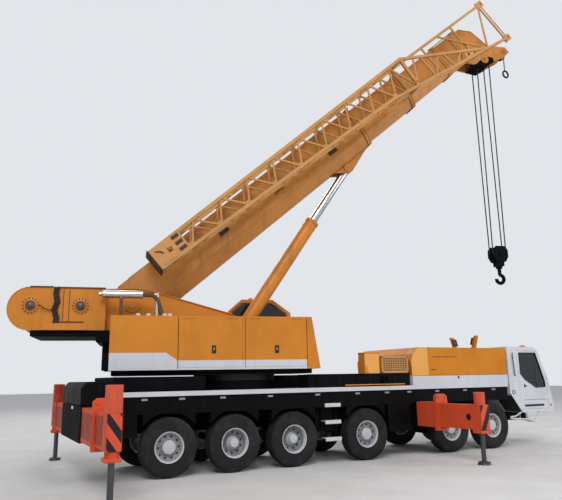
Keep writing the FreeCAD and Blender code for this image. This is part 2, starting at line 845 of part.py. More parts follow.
def outriggers():
    """Four beam tubes on the chassis, the arms that slide in them, and the jacks' legs."""
    tubes = []
    for name, middle, length, low, high, tube_end, arm_end, case_high in OUTRIGGERS:
        half = f"({length} / 2)"
        outer = box(
            f"{name}_tube_outer",
            f"{middle} - {half}",
            f"{middle} + {half}",
            "tube_start",
            tube_end,
            low,
            high,
        )
        collar = box(
            f"{name}_tube_collar",
            f"{middle} - {half} - collar_wall",
            f"{middle} + {half} + collar_wall",
            f"{tube_end} - collar_width",
            tube_end,
            f"{low} - collar_wall",
            f"{high} + collar_wall",
        )
        inner = box(
            f"{name}_tube_inner",
            f"{middle} - {half} + tube_wall",
            f"{middle} + {half} - tube_wall",
            "tube_start - 10",
            f"{tube_end} + 10",
            f"{low} + tube_wall",
            f"{high} - tube_wall",
        )
        tube = cut(f"{name}_tube", fuse(f"{name}_tube_solid", outer, collar), inner)
        tubes.append(pair(f"{name}_tubes", tube))

        inset = "(tube_wall + arm_play)"
        arm_block = box(
            f"{name}_arm_block",
            f"{middle} - {half} + {inset}",
            f"{middle} + {half} - {inset}",
            f"{tube_end} - arm_hold",
            arm_end,
            f"{low} + {inset}",
            f"{high} - {inset}",
        )
        arm_hollow = box(
            f"{name}_arm_hollow",
            f"{middle} - {half} + {inset} + arm_wall",
            f"{middle} + {half} - {inset} - arm_wall",
            f"{tube_end} - arm_hold - 10",
            f"{arm_end} - 2 * jack_case_radius - 60",
            f"{low} + {inset} + arm_wall",
            f"{high} - {inset} - arm_wall",
        )
        jack_y = f"({arm_end} - jack_case_radius - 15)"
        case = bar(
            f"{name}_case",
            "Z",
            "jack_case_radius",
            middle,
            jack_y,
            "case_low",
            case_high,
        )
        bore = bar(
            f"{name}_case_bore",
            "Z",
            "jack_bore",
            middle,
            jack_y,
            "case_low - 10",
            f"{case_high} - 40",
        )
        hollows = [arm_hollow, bore]
        if name == "front":
            web_hole = bar(
                "web_hole",
                "X",
                "web_hole_radius",
                f"({arm_end} - 2 * jack_case_radius - 160)",
                f"(({low} + {high}) / 2)",
                f"{middle} - {length}",
                f"{middle} + {length}",
            )
            hollows.append(web_hole)
        arm = cut(f"{name}_arm", fuse(f"{name}_arm_solid", arm_block, case), *hollows)
        leg = fuse(
            f"{name}_leg",
            bar(
                f"{name}_leg_rod",
                "Z",
                "jack_leg_radius",
                middle,
                jack_y,
                "foot_height / 2",
                f"{case_high} - 700",
            ),
            bar(f"{name}_foot", "Z", "foot_radius", middle, jack_y, "0", "foot_height"),
        )
        node(f"outrigger_arm_{name}_left", CARRIER, arm)
        node(f"outrigger_arm_{name}_right", CARRIER, mirror(f"{name}_arm_right", arm))
        node(f"jack_leg_{name}_left", CARRIER, leg)
        node(f"jack_leg_{name}_right", CARRIER, mirror(f"{name}_leg_right", leg))
    node("outrigger_tubes", CARRIER, *tubes)


def deck():
    """Deck plate with its rim, black side plates, tail box, fuel tank, deck boxes and steps."""
    plate = box(
        "deck_plate",
        "deck_rear",
        "deck_front",
        f"-({side})",
        side,
        "deck_high - deck_wall",
        "deck_high",
    )
    rim = box(
        "deck_rim",
        "deck_rear",
        "deck_front",
        f"{side} - deck_wall",
        side,
        "deck_low",
        "deck_high",
    )
    skirt = box(
        "skirt",
        "deck_rear",
        "deck_front",
        "skirt_out - deck_wall",
        "skirt_out",
        "skirt_low",
        "deck_high - deck_wall",
    )
    deck_box = box(
        "deck_box",
        "box_rear",
        "hood_rear - 40",
        "box_in",
        f"{side} - 60",
        "deck_high - 5",
        "box_high",
    )
    tank = box(
        "tank",
        "tank_rear",
        "tank_rear + tank_length",
        "girder_half + 150",
        "skirt_out",
        "tank_low",
        "deck_high - deck_wall",
    )
    side_box = box(
        "side_box",
        "step_x - 390",
        "step_x + 330",
        "girder_half + 270",
        "skirt_out - 250",
        "side_box_low",
        "deck_high - deck_wall",
    )
    rear_box = box(
        "rear_box",
        "deck_rear + 20",
        "-tyre_radius - 80",
        "girder_half + 270",
        "skirt_out",
        "side_box_low + 150",
        "deck_high - deck_wall",
    )
    pieces = [plate]
    for part in (rim, skirt, deck_box, tank, side_box, rear_box):
        pieces += [part, mirror(part.Name + "_right", part)]
    for number in range(3):
        height = f"(step_low + {number} * step_pitch)"
        pieces.append(
            box(
                f"step_{number}",
                "step_x - step_length / 2",
                "step_x + step_length / 2",
                f"-({side})",
                "-(skirt_out - 240)",
                height,
                f"{height} + 35",
            )
        )
    for number, sign in enumerate(("-1", "1")):
        along = f"(step_x + {sign} * (step_length / 2 - 20))"
        pieces.append(
            box(
                f"step_hanger_{number}",
                f"{along} - 20",
                f"{along} + 20",
                "-(skirt_out - 200)",
                "-(skirt_out - 240)",
                "step_low",
                "deck_high - deck_wall",
            )
        )
    hole = bar(
        "deck_hole",
        "Z",
        "ring_radius + seat_gap",
        "slew_axis",
        "0",
        "deck_high - 200",
        "deck_high + 200",
    )
    tail = prism(
        "tail_box",
        "XZ",
        (
            ("tail_rear", "girder_high"),
            ("deck_rear + 20", "girder_high"),
            ("deck_rear + 20", "tail_high"),
            ("tail_rear + tail_bevel", "tail_high"),
            ("tail_rear", "tail_high - tail_bevel"),
        ),
        f"-({side})",
        side,
    )
    tail_hole = bar(
        "tail_hole",
        "Y",
        "tail_hole",
        "tail_rear + 640",
        "tail_high - 230",
        f"-({side}) - 10",
        f"-({side}) + 60",
    )
    room = box(
        "skirt_room",
        "front_beam_x - front_beam_length / 2 - arm_play - housing_wall - seat_gap",
        "front_beam_x + front_beam_length / 2 + arm_play + housing_wall + seat_gap",
        f"-({side}) - 10",
        f"{side} + 10",
        "skirt_low - 10",
        "front_beam_high + arm_play + housing_wall + seat_gap",
    )
    whole = fuse("deck_solid", tail, *pieces)
    node("deck", CARRIER, cut("deck_cut", whole, hole, tail_hole, room))


def carrier_hood():
    """Hood over the carrier's engine with the boom rest on it, the deck locker and grille box."""
    outline = (
        ("hood_rear + 40", "deck_high"),
        ("hood_rear", "hood_shoulder"),
        ("hood_rear + hood_slope / 3", "hood_shoulder + (hood_high - hood_shoulder) / 2"),
        ("hood_rear + hood_slope", "hood_high"),
        ("hood_front", "hood_high"),
        ("hood_front", "deck_high"),
    )
    inside = (
        ("hood_rear + 40 + hood_wall", "deck_high - 1"),
        ("hood_rear + hood_wall", "hood_shoulder"),
        ("hood_rear + hood_slope + hood_wall / 2", "hood_high - hood_wall"),
        ("hood_front - hood_wall", "hood_high - hood_wall"),
        ("hood_front - hood_wall", "deck_high - 1"),
    )
    shell = cut(
        "hood_shell",
        prism("hood_outer", "XZ", outline, f"-({side})", side),
        prism(
            "hood_inner", "XZ", inside, f"-({side}) + hood_wall", f"{side} - hood_wall"
        ),
    )
    rest = prism(
        "boom_rest",
        "YZ",
        (
            ("-rest_half", "rest_high"),
            ("-rest_half + 90", "rest_high"),
            ("-rest_half + 240", "hood_high + 60"),
            ("rest_half - 240", "hood_high + 60"),
            ("rest_half - 90", "rest_high"),
            ("rest_half", "rest_high"),
            ("rest_half - 150", "hood_high - 1"),
            ("-rest_half + 150", "hood_high - 1"),
        ),
        "rest_x - 60",
        "rest_x + 60",
    )
    locker = box(
        "locker",
        "locker_rear",
        "locker_rear + locker_length",
        "-1310",
        "-1000",
        "box_high",
        "locker_high",
    )
    grille = box(
        "grille_box",
        "grille_rear",
        "grille_rear + grille_length",
        "-1310",
        "-900",
        "box_high",
        "grille_high",
    )
    node("carrier_hood", CARRIER, fuse("hood_and_rest", shell, rest), locker, grille)


CAB_OUTLINE = (
    ("cab_rear", "cab_low + 620"),
    ("cab_rear + 480", "cab_low"),
    ("cab_front - 40", "cab_low"),
    ("cab_front", "cab_low + 180"),
    ("cab_front - 130", "cab_low + 1000"),
    ("cab_front - 540", "cab_high - 140"),
    ("cab_front - 750", "cab_high"),
    ("cab_rear", "cab_high"),
)
CAB_INSIDE = (
    ("cab_rear + cab_wall", "cab_low + 620 + cab_wall / 3"),
    ("cab_rear + 480 + cab_wall / 2", "cab_low + cab_wall"),
    ("cab_front - 50 - cab_wall", "cab_low + cab_wall"),
    ("cab_front - cab_wall", "cab_low + 180 + cab_wall / 4"),
    ("cab_front - 130 - cab_wall", "cab_low + 1000 - cab_wall / 4"),
    ("cab_front - 540 - cab_wall", "cab_high - 140 - cab_wall / 2"),
    ("cab_front - 750 - cab_wall / 3", "cab_high - cab_wall"),
    ("cab_rear + cab_wall", "cab_high - cab_wall"),
)


def hinge(name, axis, one, two, middle):
    """A hinge: the leaf's knuckle, room for it, the frame's two knuckles, room for those."""
    knuckle = bar(
        f"{name}_leaf",
        axis,
        "hinge_radius",
        one,
        two,
        f"{middle} - hinge_half",
        f"{middle} + hinge_half",
    )
    room = bar(
        f"{name}_leaf_room",
        axis,
        "hinge_radius + hinge_gap",
        one,
        two,
        f"{middle} - hinge_half - hinge_gap",
        f"{middle} + hinge_half + hinge_gap",
    )
    fixed = []
    fixed_rooms = []
    for word, sign in (("low", "-1"), ("high", "1")):
        centre = f"{middle} + {sign} * 2 * hinge_half"
        fixed.append(
            bar(
                f"{name}_{word}",
                axis,
                "hinge_radius",
                one,
                two,
                f"{centre} - hinge_half + hinge_gap",
                f"{centre} + hinge_half - hinge_gap",
            )
        )
        fixed_rooms.append(
            bar(
                f"{name}_{word}_room",
                axis,
                "hinge_radius + hinge_gap",
                one,
                two,
                f"{centre} - hinge_half",
                f"{centre} + hinge_half",
            )
        )
    return knuckle, room, fixed, fixed_rooms


def door_outline(grow, hinge_edge):
    """The cab door's edge, made larger by grow, and by hinge_edge at its front edge."""
    return (
        (f"door_rear - {grow}", f"door_low - {grow}"),
        (f"door_front + {hinge_edge}", f"door_low - {grow}"),
        (f"door_front + {hinge_edge}", f"door_low + 880 + {grow} / 2"),
        (f"door_front - 370 + {grow}", f"door_high + {grow}"),
        (f"door_rear - {grow}", f"door_high + {grow}"),
    )


DOOR_WINDOW = (
    ("door_rear + 90", "door_low + 1110"),
    ("door_rear + 270", "door_low + 930"),
    ("door_front - 550", "door_low + 670"),
    ("door_front - 110", "door_low + 690"),
    ("door_front - 110", "door_low + 860"),
    ("door_front - 440", "door_high - 65"),
    ("door_rear + 90", "door_high - 65"),
)


def cab():
    """The driver's cab: a hollow shell with its two doors, its glass and its seats."""
    shell = cut(
        "cab_hollow",
        prism("cab_outer", "XZ", CAB_OUTLINE, f"-({side})", side),
        prism("cab_inner", "XZ", CAB_INSIDE, f"-({side}) + cab_wall", f"{side} - cab_wall"),
    )
    doorways = [
        prism(
            f"doorway_{word}",
            "XZ",
            door_outline("door_gap", "hinge_gap"),
            low,
            high,
        )
        for word, low, high in (
            ("right", f"-({side}) - 10", f"-({side}) + cab_wall + 10"),
            ("left", f"{side} - cab_wall - 10", f"{side} + 10"),
        )
    ]
    screen = prism(
        "screen_opening",
        "XZ",
        (
            ("cab_front - 300", "cab_low + 1060"),
            ("cab_front + 50", "cab_low + 1060"),
            ("cab_front - 300", "cab_high - 170"),
            ("cab_front - 700", "cab_high - 170"),
        ),
        f"-({side}) + 140",
        f"{side} - 140",
    )
    knuckles = []
    rooms = []
    fixed = []
    fixed_rooms = []
    for word, middle in (("low", "door_low + 180"), ("high", "door_low + 700")):
        parts = hinge(f"door_hinge_{word}", "Z", "door_front", side, middle)
        knuckles.append(parts[0])
        rooms.append(parts[1])
        fixed += parts[2]
        fixed_rooms += parts[3]
    rooms += [mirror(room.Name + "_right", room) for room in rooms]
    fixed += [mirror(part.Name + "_right", part) for part in fixed]
    shell = cut("cab_shell_cut", shell, *doorways, screen, *rooms)
    node("cab_shell", CARRIER, fuse("cab_shell_hinged", shell, *fixed))

    panel = prism(
        "door_panel",
        "XZ",
        door_outline("0", "0"),
        f"{side} - cab_wall",
        side,
        hole=DOOR_WINDOW,
    )
    leaf = fuse("door_leaf", cut("door_panel_cut", panel, *fixed_rooms), *knuckles)
    node("cab_door_left", CARRIER, leaf)
    node("cab_door_right", CARRIER, mirror("door_leaf_right", leaf))

    glass = prism(
        "screen_glass",
        "XZ",
        (
            ("cab_front - 168", "cab_low + 1060 + seat_gap"),
            ("cab_front - 160", "cab_low + 1060 + seat_gap"),
            ("cab_front - 531", "cab_high - 170 - seat_gap"),
            ("cab_front - 539", "cab_high - 170 - seat_gap"),
        ),
        f"-({side}) + 140 + seat_gap",
        f"{side} - 140 - seat_gap",
    )
    node("cab_glass", CARRIER, glass)

    seats = []
    for word, sign in (("right", "-1"), ("left", "1")):
        middle = f"{sign} * 620"
        seat = prism(
            f"seat_{word}",
            "XZ",
            (
                ("cab_rear + 560", "cab_low + cab_wall"),
                ("cab_rear + 900", "cab_low + cab_wall"),
                ("cab_rear + 1000", "cab_low + 430"),
                ("cab_rear + 1000", "cab_low + 560"),
                ("cab_rear + 560", "cab_low + 520"),
                ("cab_rear + 400", "cab_low + 1150"),
                ("cab_rear + 290", "cab_low + 1130"),
                ("cab_rear + 460", "cab_low + 430"),
            ),
            f"{middle} - 250",
            f"{middle} + 250",
        )
        seats.append(seat)
    dash = prism(
        "dashboard",
        "XZ",
        (
            ("cab_front - 420", "cab_low + 760"),
            ("cab_front - 140", "cab_low + 700"),
            ("cab_front - 190", "cab_low + 980"),
            ("cab_front - 340", "cab_low + 980"),
        ),
        f"-({side}) + cab_wall + 20",
        f"{side} - cab_wall - 20",
    )
    column = prism(
        "steering_column",
        "XZ",
        (
            ("cab_front - 330", "cab_low + cab_wall"),
            ("cab_front - 270", "cab_low + cab_wall"),
            ("cab_front - 400", "cab_low + 900"),
            ("cab_front - 460", "cab_low + 900"),
        ),
        "600",
        "660",
    )
    node("cab_interior", CARRIER, *seats, fuse("dash_and_column", dash, column))


def turntable():
    """Slewing ring, plate and cheeks of the superstructure, with the winch frame and its drums."""
    ring = bar("ring_top", "Z", "ring_radius", "0", "0", "ring_split + seat_gap", "base_high - 20")
    plate = box(
        "turntable_plate",
        "base_rear",
        "base_front",
        "-base_half",
        "base_half",
        "base_high - base_wall",
        "base_high",
    )
    cheek = prism(
        "cheek",
        "XZ",
        (
            ("base_front", "base_high - 20"),
            ("base_front", "base_high + 350"),
            ("foot_pin_x + 2550", "foot_pin_z - 230"),
            ("foot_pin_x + 430", "foot_pin_z + 350"),
            ("foot_pin_x + 100", "foot_pin_z + 400"),
            ("winch_start - 40", "winch_high"),
            ("winch_start - 40", "winch_low"),
            ("base_rear", "base_high + 300"),
            ("base_rear", "base_high - 20"),
        ),
        "cheek_in",
        "cheek_in + cheek_wall",
    )
    pin = bar(
        "foot_pin",
        "Y",
        "foot_pin_radius",
        "foot_pin_x",
        "foot_pin_z",
        "-(cheek_in + cheek_wall + 60)",
        "cheek_in + cheek_wall + 60",
    )
    lug = prism(
        "barrel_lug",
        "XZ",
        (
            ("barrel_pin_x - 260", "base_high - 20"),
            ("barrel_pin_x + 260", "base_high - 20"),
            ("barrel_pin_x + 130", "barrel_pin_z + 130"),
            ("barrel_pin_x - 130", "barrel_pin_z + 130"),
        ),
        "barrel_radius + 10",
        "barrel_radius + 70",
    )
    winch_plate_outline = (
        ("winch_start", "winch_low"),
        ("winch_start", "winch_high"),
        ("winch_rear", "winch_high"),
        ("winch_rear", "winch_low"),
    )
    side_plate = fuse(
        "winch_side",
        prism("winch_side_plate", "XZ", winch_plate_outline, "winch_half - winch_wall", "winch_half"),
        bar(
            "winch_side_end",
            "Y",
            "(winch_high - winch_low) / 2",
            "winch_rear",
            "(winch_high + winch_low) / 2",
            "winch_half - winch_wall",
            "winch_half",
        ),
    )
    front_wall = box(
        "winch_front_wall",
        "winch_start - 40",
        "winch_start",
        "-winch_half",
        "winch_half",
        "winch_low",
        "winch_high",
    )
    floor = box(
        "winch_floor",
        "winch_rear",
        "winch_start",
        "-winch_half",
        "winch_half",
        "winch_low",
        "winch_low + winch_wall",
    )
    drums = []
    for number, alias in enumerate(("winch_front", "winch_rear")):
        drums.append(
            bar(
                f"drum_{number}",
                "Y",
                "drum_radius",
                alias,
                "winch_z",
                "-winch_half + winch_wall / 2",
                "winch_half - winch_wall / 2",
            )
        )
        for word, sign in (("right", "-1"), ("left", "1")):
            drums.append(
                bar(
                    f"flange_{number}_{word}",
                    "Y",
                    "flange_radius",
                    alias,
                    "winch_z",
                    f"{sign} * 480 - 15",
                    f"{sign} * 480 + 15",
                )
            )
    pieces = [ring, plate, pin, front_wall, floor, *drums]
    for part in (cheek, lug, side_plate):
        pieces += [part, mirror(part.Name + "_right", part)]
    node("turntable_frame", UPPER, fuse("turntable_solid", *pieces))


def housings():
    """Engine housing on the right with two lifting flaps, and the plain housing on the left."""
    outline = (
        ("house_rear", "base_high"),
        ("house_front", "base_high"),
        ("house_front - house_slope", "house_high"),
        ("house_rear", "house_high"),
    )
    inside = (
        ("house_rear + house_wall", "base_high + house_wall"),
        ("house_front - 2 * house_wall", "base_high + house_wall"),
        ("house_front - house_slope - house_wall", "house_high - house_wall"),
        ("house_rear + house_wall", "house_high - house_wall"),
    )
    outer = prism("house_outer", "XZ", outline, f"-({side})", "-house_in")
    inner = prism(
        "house_inner",
        "XZ",
        inside,
        f"-({side}) + house_wall",
        "-house_in - house_wall",
    )
    mouths = []
    fixed = []
    hinges = {}
    for number, alias in enumerate(("flap_1", "flap_2")):
        hinges[alias] = [
            hinge(
                f"{alias}_hinge_{word}",
                "X",
                f"-({side})",
                "flap_high",
                f"{alias} + {middle}",
            )
            for word, middle in (("rear", "250"), ("front", "flap_length - 250"))
        ]
        for parts in hinges[alias]:
            mouths.append(parts[1])
            fixed += parts[2]
        mouths.append(
            box(
                f"flap_mouth_{number}",
                f"{alias} - door_gap",
                f"{alias} + flap_length + door_gap",
                f"-({side}) - 10",
                f"-({side}) + house_wall + 10",
                "flap_low - door_gap",
                "flap_high + hinge_gap",
            )
        )
    block = box(
        "engine_block",
        "(house_rear + house_front - engine_length) / 2",
        "(house_rear + house_front + engine_length) / 2",
        f"-({side}) + 160",
        "-house_in - 120",
        "base_high + house_wall / 2",
        "engine_high",
    )
    shell = cut("house_open", outer, inner, *mouths)
    left_outer = prism(
        "left_house",
        "XZ",
        (
            ("house_rear", "base_high"),
            ("left_house_front", "base_high"),
            ("left_house_front", "house_high"),
            ("house_rear", "house_high"),
        ),
        "house_in",
        side,
    )
    left_inner = box(
        "left_house_inner",
        "house_rear + house_wall",
        "left_house_front - house_wall",
        "house_in + house_wall",
        f"{side} - house_wall",
        "base_high - 10",
        "house_high - house_wall",
    )
    node(
        "engine_housing",
        UPPER,
        fuse("house_and_engine", shell, block, *fixed),
        cut("left_house_open", left_outer, left_inner),
    )
    for number, alias, name in ((1, "flap_1", "rear"), (2, "flap_2", "front")):
        panel = box(
            f"flap_panel_{number}",
            alias,
            f"{alias} + flap_length",
            f"-({side})",
            f"-({side}) + house_wall",
            "flap_low",
            "flap_high",
        )
        rooms = [room for parts in hinges[alias] for room in parts[3]]
        panel = cut(f"flap_cut_{number}", panel, *rooms)
        leaf = fuse(f"flap_leaf_{number}", panel, *[parts[0] for parts in hinges[alias]])
        node(f"housing_flap_{name}", UPPER, leaf)


def crane_cabin():
    """The operator's cabin on the left: a hollow shell with windows all round."""
    outline = (
        ("cabin_rear", "base_high"),
        ("cabin_front - 200", "base_high"),
        ("cabin_front", "base_high + 450"),
        ("cabin_front - 60", "cabin_high - 380"),
        ("cabin_front - 600", "cabin_high"),
        ("cabin_rear + 380", "cabin_high"),
        ("cabin_rear", "cabin_high - 340"),
    )
    inside = (
        ("cabin_rear + cabin_wall", "base_high + cabin_wall"),
        ("cabin_front - 200 - cabin_wall", "base_high + cabin_wall"),
        ("cabin_front - cabin_wall", "base_high + 460"),
        ("cabin_front - 60 - cabin_wall", "cabin_high - 390"),
        ("cabin_front - 610", "cabin_high - cabin_wall"),
        ("cabin_rear + 390", "cabin_high - cabin_wall"),
        ("cabin_rear + cabin_wall", "cabin_high - 355"),
    )
    shell = cut(
        "cabin_hollow",
        prism("cabin_outer", "XZ", outline, "cabin_in", side),
        prism("cabin_inner", "XZ", inside, "cabin_in + cabin_wall", f"{side} - cabin_wall"),
    )
    front = prism(
        "cabin_front_window",
        "XZ",
        (
            ("cabin_front - 120", "base_high + 560"),
            ("cabin_front + 100", "base_high + 560"),
            ("cabin_front + 100", "cabin_high - 430"),
            ("cabin_front - 200", "cabin_high - 430"),
        ),
        "cabin_in + 80",
        f"{side} - 80",
    )
    flank = prism(
        "cabin_side_window",
        "XZ",
        (
            ("cabin_rear + 120", "base_high + 900"),
            ("cabin_front - 200", "base_high + 600"),
            ("cabin_front - 210", "cabin_high - 420"),
            ("cabin_front - 640", "cabin_high - 130"),
            ("cabin_rear + 400", "cabin_high - 130"),
            ("cabin_rear + 120", "cabin_high - 380"),
        ),
        "cabin_in - 10",
        f"{side} + 10",
    )
    node("crane_cabin", UPPER, cut("cabin_open", shell, front, flank))


def muffler():
    """Muffler above the engine housing, on a stay, with its pipe down to the housing."""
    can = bar(
        "muffler_can",
        "X",
        "muffler_radius",
        "-muffler_out",
        "muffler_z",
        "muffler_x",
        "muffler_x + muffler_length",
    )
    across = bar(
        "muffler_pipe",
        "X",
        "pipe_radius",
        "-muffler_out",
        "muffler_z",
        "muffler_x + muffler_length - 10",
        "muffler_x + muffler_length + 350",
    )
    down = bar(
        "muffler_down",
        "Z",
        "pipe_radius",
        "muffler_x + muffler_length + 350",
        "-muffler_out",
        "house_high",
        "muffler_z + pipe_radius",
    )
    stay = box(
        "muffler_stay",
        "house_rear + 200",
        "house_rear + 260",
        "-muffler_out - 60",
        "-muffler_out + 60",
        "house_high",
        "muffler_z",
    )
    node("muffler", UPPER, fuse("muffler_solid", can, across, down, stay))


def section_outline(inset):
    """A boom section: upright sides above, drawn in to a narrower underside, in Y and Z."""
    depth = f"(base_depth - {inset})"
    width = f"(base_width - {inset})"
    return (
        (f"-{width}", depth),
        (f"-{width}", f"-{depth} * 0.5"),
        (f"-{width} * 0.62", f"-{depth}"),
        (f"{width} * 0.62", f"-{depth}"),
        (width, f"-{depth} * 0.5"),
        (width, depth),
    )


def section(name, inset, start, end, hollow_start, ring=False):
    """One telescoping box section, open at its outer end, with a raised band there.

    A ring of slide pads goes round the inner end of one that slides in another."""
    outer = prism(f"{name}_outer", "YZ", section_outline(inset), start, end)
    band = prism(
        f"{name}_band",
        "YZ",
        section_outline(f"({inset} - band_wall)"),
        f"{end} - band_width",
        end,
    )
    inner = prism(
        f"{name}_inner",
        "YZ",
        section_outline(f"({inset} + section_wall)"),
        hollow_start,
        f"{end} + 10",
    )
    pieces = [outer, band]
    if ring:
        pieces.append(
            prism(
                f"{name}_slide_ring",
                "YZ",
                section_outline(f"({inset} - section_play + seat_gap)"),
                start,
                f"{start} + ring_width",
            )
        )
    return cut(f"{name}_tube", fuse(f"{name}_solid", *pieces), inner)


def boom():
    """Three boom sections, the lower one with its foot and the lift cylinder's ears."""
    base = section("base", "0", "0", "base_end", "base_bulk")
    ear = prism(
        "boom_ear",
        "XZ",
        (
            ("eye_u - 520", "-base_depth + 20"),
            ("eye_u - eye_radius", "eye_v - eye_radius / 2"),
            ("eye_u - eye_radius / 2", "eye_v - eye_radius"),
            ("eye_u + eye_radius / 2", "eye_v - eye_radius"),
            ("base_end", "-base_depth + 20"),
        ),
        "eye_half + 5",
        "eye_half + 65",
    )
    eye_pin = bar(
        "eye_pin",
        "Y",
        "eye_pin_radius",
        "eye_u",
        "eye_v",
        "-(eye_half + 90)",
        "eye_half + 90",
    )
    boss = bar(
        "foot_boss",
        "Y",
        "foot_pin_radius + 120",
        "0",
        "0",
        "-(cheek_in - 5)",
        "cheek_in - 5",
    )
    foot_bore = bar(
        "foot_bore",
        "Y",
        "foot_pin_radius + running_gap",
        "0",
        "0",
        "-cheek_in",
        "cheek_in",
    )
    solid = fuse("base_solid_whole", base, boss, ear, mirror("boom_ear_right", ear), eye_pin)
    node("boom_base", BOOM, cut("base_whole", solid, foot_bore))

    step = "(section_wall + section_play)"
    node(
        "boom_middle",
        BOOM,
        section("middle", step, "mid_start", "mid_end", "mid_start - 10", ring=True),
    )

    head = section(
        "head",
        f"(2 * {step})",
        "head_start",
        "head_end",
        "head_start - 10",
        ring=True,
    )
    collar = cut(
        "head_ring",
        prism(
            "head_ring_outer",
            "YZ",
            section_outline(f"(2 * {step} - band_wall)"),
            "head_collar - band_width",
            "head_collar",
        ),
        prism(
            "head_ring_inner",
            "YZ",
            section_outline(f"(2 * {step} + 1)"),
            "head_collar - band_width - 10",
            "head_collar + 10",
        ),
    )
    cheek = prism(
        "head_cheek",
        "XZ",
        (
            ("head_end - 150", "-base_depth * 0.8"),
            ("head_end - 150", "base_depth * 0.8"),
            ("head_end + 500", "base_depth * 0.8"),
            ("head_end + 850", "base_depth * 0.3"),
            ("nose_u - 420", "sheave_v + 320"),
            ("nose_u + 130", "nose_v + 110"),
            ("nose_u + 130", "nose_v - 110"),
            ("nose_u - 120", "nose_v - 120"),
            ("sheave_u + 240", "sheave_v - 260"),
            ("sheave_u - 200", "sheave_v - 200"),
        ),
        "cheek_head - 40",
        "cheek_head",
    )
    bulkhead = box(
        "head_bulkhead",
        "head_end - 60",
        "head_end - 20",
        "-cheek_head",
        "cheek_head",
        "-base_depth * 0.6",
        "base_depth * 0.7",
    )
    wheels_on_head = [
        bar(
            "head_axle",
            "Y",
            "60",
            "sheave_u",
            "sheave_v",
            "-cheek_head - 30",
            "cheek_head + 30",
        ),
        bar(
            "nose_axle",
            "Y",
            "45",
            "nose_u",
            "nose_v",
            "-cheek_head - 20",
            "cheek_head + 20",
        ),
        bar("nose_wheel", "Y", "nose_radius", "nose_u", "nose_v", "-40", "40"),
        bar(
            "top_axle",
            "Y",
            "45",
            "head_end + 420",
            "base_depth * 0.62",
            "-cheek_head",
            "cheek_head",
        ),
        bar(
            "top_wheel",
            "Y",
            "sheave_radius",
            "head_end + 420",
            "base_depth * 0.62",
            "-40",
            "40",
        ),
    ]
    for number in range(4):
        middle = f"(-fall_spread * 1.8 + {number} * fall_spread * 1.2)"
        wheels_on_head.append(
            bar(
                f"head_wheel_{number}",
                "Y",
                "sheave_radius",
                "sheave_u",
                "sheave_v",
                f"{middle} - 35",
                f"{middle} + 35",
            )
        )
    node(
        "boom_head",
        BOOM,
        fuse(
            "head_whole",
            head,
            collar,
            cheek,
            mirror("head_cheek_right", cheek),
            bulkhead,
            *wheels_on_head,
        ),
    )


# share of a bay by which the lacing's upper joint lies ahead of its lower one
JIB_LEAN = 0.45
# lacing of the jib's fork: station on the strut, station on the lower chord, in millimetres along the boom
FORK_LACING = (
    (11050, 10600),
    (11300, 11400),
    (11950, 11450),
    (12130, 12300),
    (12800, 12400),
)


